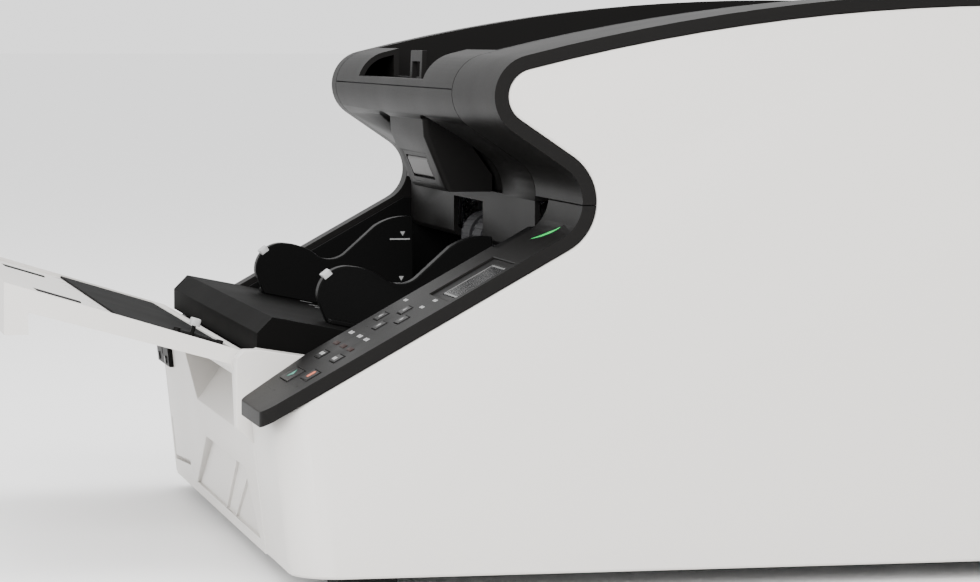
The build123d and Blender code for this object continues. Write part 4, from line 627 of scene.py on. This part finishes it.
make_piece("right_guide_cap", "right_guide", "well_plastic", pale_grey, guide_cap, 67.5)
make_piece("left_guide_cap", "left_guide", "well_plastic", pale_grey, guide_cap, -156.5)
make_piece("filling_marks", "left_guide", "well_plastic", print_white, filling_marks)


# Feed tray: sheet support with its small grey tab, rubber pads, size marks, the extension's grip

SUPPORT_X = 100  # the sheet support's place along the tray's hinge, in mm
TRAY_TOP = 3.6  # the tray's surface over the hinge line, in mm


def support_tab(shape):
    rounded_plate(shape, on_tray(SUPPORT_X, 24.5, 10.2), (7.0, 5.0, 3.8), 1.0, 0.6)


def support_rod(shape):
    lying = on_tray(SUPPORT_X, 8.0, 5.2) @ Matrix.Rotation(radians(90), 4, "X")
    turned_piece(shape, lying, 1.2, 26.0, 0.4, 0.3)
    rounded_plate(shape, on_tray(SUPPORT_X, 24.5, 3.4), (3.0, 2.0, 7.2), 0.6)
    for out, length in ((9.5, 3.6), (32.5, 3.9)):
        turned_piece(shape, on_tray(SUPPORT_X, out, 3.2), 1.9, length, 0.6, 0.4)


def tray_pads(shape):
    for x in (-150.0, 61.0):
        rounded_plate(shape, on_tray(x, 96.0, TRAY_TOP), (9.0, 34.0, 0.7), 2.0, 0.25, 4)


def tray_marks(shape):
    for x in (-193.0, -149.5, -118.5, -97.0, 8.0, 29.5, 60.5, 104.0):
        stripe(shape, on_tray(x, 66.5, TRAY_TOP), 0.8, 7.0)
    for x, turn in ((-197.5, -90), (108.5, 90)):
        arrow(shape, on_tray(x, 66.5, TRAY_TOP) @ Matrix.Rotation(radians(turn), 4, "Z"), 1.6)


def grip_ribs(shape):
    for row in range(3):
        front = at(MIDDLE, -126.0, 130.6 + 2.6 * row)
        rounded_plate(shape, placed(front, radians(90)), (40.0, 0.9, 0.35), 0.4, 0.1, 2)


make_piece("support_tab", "feed_tray_body", "white_plastic", pale_grey, support_tab)
make_piece("support_rod", "feed_tray_body", "steel", looks["dark_plastic"], support_rod)
make_piece("tray_pads", "feed_tray_body", "foot_rubber", looks["foot_rubber"], tray_pads)
make_piece("tray_marks", "feed_tray_body", "white_plastic", print_grey, tray_marks)
make_piece("grip_ribs", "extension", "white_plastic", looks["white_plastic"], grip_ribs)


# Feed table: size marks along the guides' rail

def table_marks(shape):
    y, front, front_height = 70, 9, 128
    height = front_height - (y - front) * TABLE_FALL
    for reach in (52.5, 74.0, 105.0, 128.0, 148.5):
        for way in (-1, 1):
            spot = placed(at(MIDDLE + way * reach, y, height), TABLE_TURN)
            stripe(shape, spot, 0.8, 7.0)


make_piece("table_marks", "lift_table", "well_plastic", print_white, table_marks)


# Rollers: rubber tyres on their hubs

SHAFT_RADIUS = 3.2  # faces of a roller within it belong to the shaft, in mm
TYRE_START = 0.7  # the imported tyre's vertices lie beyond this share of its radius
HUB_DEPTH = 1.2  # the hub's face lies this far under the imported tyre's, in mm
HUB_LENGTH = 0.85  # the hub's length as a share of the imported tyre's
TYRE_OVER = 0.05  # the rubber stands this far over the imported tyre, in mm
TYRE_LONGER = 0.2  # and is this much longer, in mm

# Body: node, y and z of the shaft, a tyre's radius, length and distance from the middle, its treads
rollers = {
    "pickup": ("pickup_roller", 160.0, 158.0, 14.0, 22.0, 15.0, 22),
    "feed": ("feed_roller", 200.0, 166.15, 16.0, 22.0, 15.0, 24),
    "separation": ("separation_roller", 200.0, 133.85, 16.0, 22.0, 15.0, 24),
    "front_drive": ("drive_roller_front", 250.0, 139.85, 10.0, 30.0, 75.0, 0),
    "rear_drive": ("drive_roller_rear", 360.0, 139.85, 10.0, 30.0, 75.0, 0),
    "front_idler": ("idler_roller_front", 250.0, 160.15, 10.0, 30.0, 75.0, 0),
    "rear_idler": ("idler_roller_rear", 360.0, 160.15, 10.0, 30.0, 75.0, 0),
    "eject": ("eject_roller", 405.0, 246.0, 9.0, 30.0, 75.0, 0),
}


def tyre_pair(shape, y, z, radius, length, reach, treads):
    for way in (-1, 1):
        spot = placed(at(MIDDLE + way * reach, y, z), 0, radians(90))
        if treads:
            ribbed_tyre(shape, spot, radius + TYRE_OVER, length + TYRE_LONGER, treads)
        else:
            smooth_tyre(shape, spot, radius + TYRE_OVER, length + TYRE_LONGER)


def bare_hub(piece, y, z, radius, length, reach):
    """Shrink a packed roller's tyres to the hubs under the rubber; finish hub and shaft apart."""
    mesh = piece.data
    centre = at(0, y, z)
    for vertex in mesh.vertices:
        out = hypot(vertex.co.y - centre.y, vertex.co.z - centre.z)
        across = abs(vertex.co.x - MIDDLE * MM)
        if radius * TYRE_START * MM < out and across < (reach + length) * MM:
            middle = (MIDDLE + (reach if vertex.co.x > MIDDLE * MM else -reach)) * MM
            vertex.co.x = middle + (vertex.co.x - middle) * HUB_LENGTH
            vertex.co.y = centre.y + (vertex.co.y - centre.y) * (1 - HUB_DEPTH / radius)
            vertex.co.z = centre.z + (vertex.co.z - centre.z) * (1 - HUB_DEPTH / radius)
    mesh.materials.clear()
    mesh.materials.append(hub_plastic)
    mesh.materials.append(looks["steel"])
    for face in mesh.polygons:
        out = hypot(face.center.y - centre.y, face.center.z - centre.z)
        face.material_index = 1 if out < SHAFT_RADIUS * MM else 0


for body, (node, y, z, radius, length, reach, treads) in rollers.items():
    make_piece(body + "_tyres", body, "roller_rubber", looks["roller_rubber"],
               tyre_pair, y, z, radius, length, reach, treads)
    bare_hub(bpy.data.objects[node + "_skin"], y, z, radius, length, reach)


# Image sensors: two lamp strips and the lens row between them under each glass

LENSES = 24
LENS_PITCH = 12.0  # in mm

# Side of the sheet: body, z of the strips' foot in mm, their turn about X
sensors = {"lower": ("main_body", 145.1, 0), "upper": ("upper_unit", 154.9, radians(180))}


def light_strips(shape, z, turn):
    for y in (289.0, 301.0):
        rounded_plate(shape, placed(at(MIDDLE, y, z), turn), (290.0, 4.0, 0.4), 0.6, 0.1)


def lens_row(shape, z, turn):
    for step in range(LENSES):
        x = MIDDLE + (step - (LENSES - 1) / 2) * LENS_PITCH
        lens = (LENS_PITCH - 0.4, 1.8, 0.5)
        rounded_plate(shape, placed(at(x, 295.0, z), turn), lens, 0.5, 0.12)


for side, (body, z, turn) in sensors.items():
    make_piece(side + "_light_strips", body, "scan_glass", light_strip, light_strips, z, turn)
for side, (body, z, turn) in sensors.items():
    make_piece(side + "_lens_row", body, "scan_glass", looks["display"], lens_row, z, turn)


# Back and underside: screws, vent screens, plug contacts and the switch's marks

def rear_screws(shape):
    for x in (-224.0, 224.0):
        screw_head(shape, placed(at(x, 563.9, 240.0), radians(-90)), 3.4, 3.2)


def base_screws(shape):
    """One in each foot, and six in the base pan."""
    for x in (-200.0, 200.0):
        for y in (42.0, 520.0):
            screw_head(shape, placed(at(x, y, 3.2), radians(180)), 3.6, 1.6)
    for x, y in ((-215, 180), (-215, 380), (215, 180), (215, 380), (0, 32), (0, 536)):
        screw_head(shape, placed(at(x, y, 9.2), radians(180)), 3.4, 1.4)


def bracket_screws(shape):
    for x in (-214.0, -182.0):
        screw_head(shape, placed(at(x, -8.6, 80.5), radians(96)), 2.4, 1.2)


def vent_screens(shape):
    for x, z in ((-120.0, 110.0), (120.0, 110.0), (0.0, 180.0)):
        spot = placed(at(x, 560.4, z), radians(90))
        rounded_plate(shape, spot, (98.0, 54.0, 0.8), 3.0, 0.2)


def plug_blades(shape):
    for x, z in ((190.0, 42.0), (184.0, 38.0), (196.0, 38.0)):
        spot = placed(at(x, 547.0, z), radians(-90))
        rounded_plate(shape, spot, (2.0, 4.4, 12.6), 0.4, 0.3)


def port_contacts(shape):
    for step in range(4):
        spot = placed(at(98.2 + 1.2 * step, 552.4, 42.6))
        rounded_plate(shape, spot, (0.7, 8.0, 0.15), 0.15, corner_steps=2)


def switch_marks(shape):
    """A line and a ring on the rocker's two halves."""
    stripe(shape, placed(at(152.0, 560.6, 44.4), radians(-96)), 0.8, 3.6)
    form = bmesh.new()
    bmesh.ops.create_circle(form, cap_ends=True, segments=24, radius=1.9)
    flat_rim(shape, placed(at(152.0, 561.5, 35.8), radians(-71)), form, 0.6, INK)


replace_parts(make_piece("rear_screws", "main_body", "steel", looks["steel"], rear_screws), "cover_screws")
make_piece("base_screws", "main_body", "steel", looks["steel"], base_screws)
make_piece("bracket_screws", "main_body", "steel", dark_steel, bracket_screws)
make_piece("vent_screens", "main_body", "sheet_metal", vent_mesh, vent_screens)
make_piece("plug_blades", "main_body", "steel", looks["steel"], plug_blades)
make_piece("port_contacts", "main_body", "steel", contact_brass, port_contacts)
make_piece("switch_marks", "switch", "well_plastic", print_white, switch_marks)


# Camera, light and floor

def in_scene(name, data):
    """New object of the data in the scene, turned by a quaternion."""
    made = bpy.data.objects.new(name, data)
    bpy.context.scene.collection.objects.link(made)
    made.rotation_mode = "QUATERNION"
    return made


def stand_camera():
    """The photograph's view, fitted to its outline: a long lens low on the user's right."""
    turn, height, roll = radians(11.874), radians(3.8897), radians(0.0666)
    back = Vector((cos(height) * cos(turn), -cos(height) * sin(turn), sin(height)))
    data = bpy.data.cameras.new("camera")
    data.lens = 136.77
    data.sensor_width = 36.0
    data.clip_end = 200.0
    camera = in_scene("camera", data)
    camera.rotation_quaternion = (back.to_track_quat("Z", "Y")
                                  @ Matrix.Rotation(roll, 3, "Z").to_quaternion())
    camera.location = (1.98487, -0.48854, 0.26897)
    bpy.context.scene.camera = camera


def hang_light(name, place, aim, size, power, colour=(1, 1, 1)):
    """Square soft light aimed at a point."""
    data = bpy.data.lights.new(name, "AREA")
    data.size = size
    data.energy = power
    data.color = colour
    lamp = in_scene(name, data)
    lamp.location = place
    lamp.rotation_quaternion = (Vector(place) - Vector(aim)).to_track_quat("Z", "Y")


def lay_floor():
    """Plain pale floor, a hair under the feet."""
    shape = bmesh.new()
    bmesh.ops.create_grid(shape, x_segments=1, y_segments=1, size=60.0)
    mesh = bpy.data.meshes.new("floor")
    shape.to_mesh(mesh)
    shape.free()
    floor = bpy.data.objects.new("floor", mesh)
    floor.location.z = -0.1 * MM
    bpy.context.scene.collection.objects.link(floor)
    pale = Finish("floor", Base_Color=(0.93, 0.93, 0.93, 1), Roughness=0.75)
    mesh.materials.append(pale.material)


def light_room():
    """White surroundings, a warm key light from the right and two weak fill lights."""
    world = bpy.data.worlds.new("studio")
    world.use_nodes = True
    background = world.node_tree.nodes["Background"]
    background.inputs["Color"].default_value = (1, 1, 1, 1)
    background.inputs["Strength"].default_value = 1.7
    bpy.context.scene.world = world
    hang_light("key", (2.6, -0.9, 1.3), (0.2, -0.1, 0.08), 1.4, 105.0, (1.0, 0.995, 0.985))
    hang_light("top", (-0.2, 0.2, 2.3), (0, 0, 0.2), 1.8, 45.0)
    hang_light("low", (1.3, -1.9, 0.7), (0.24, -0.3, 0.05), 0.6, 18.0)


stand_camera()
lay_floor()
light_room()
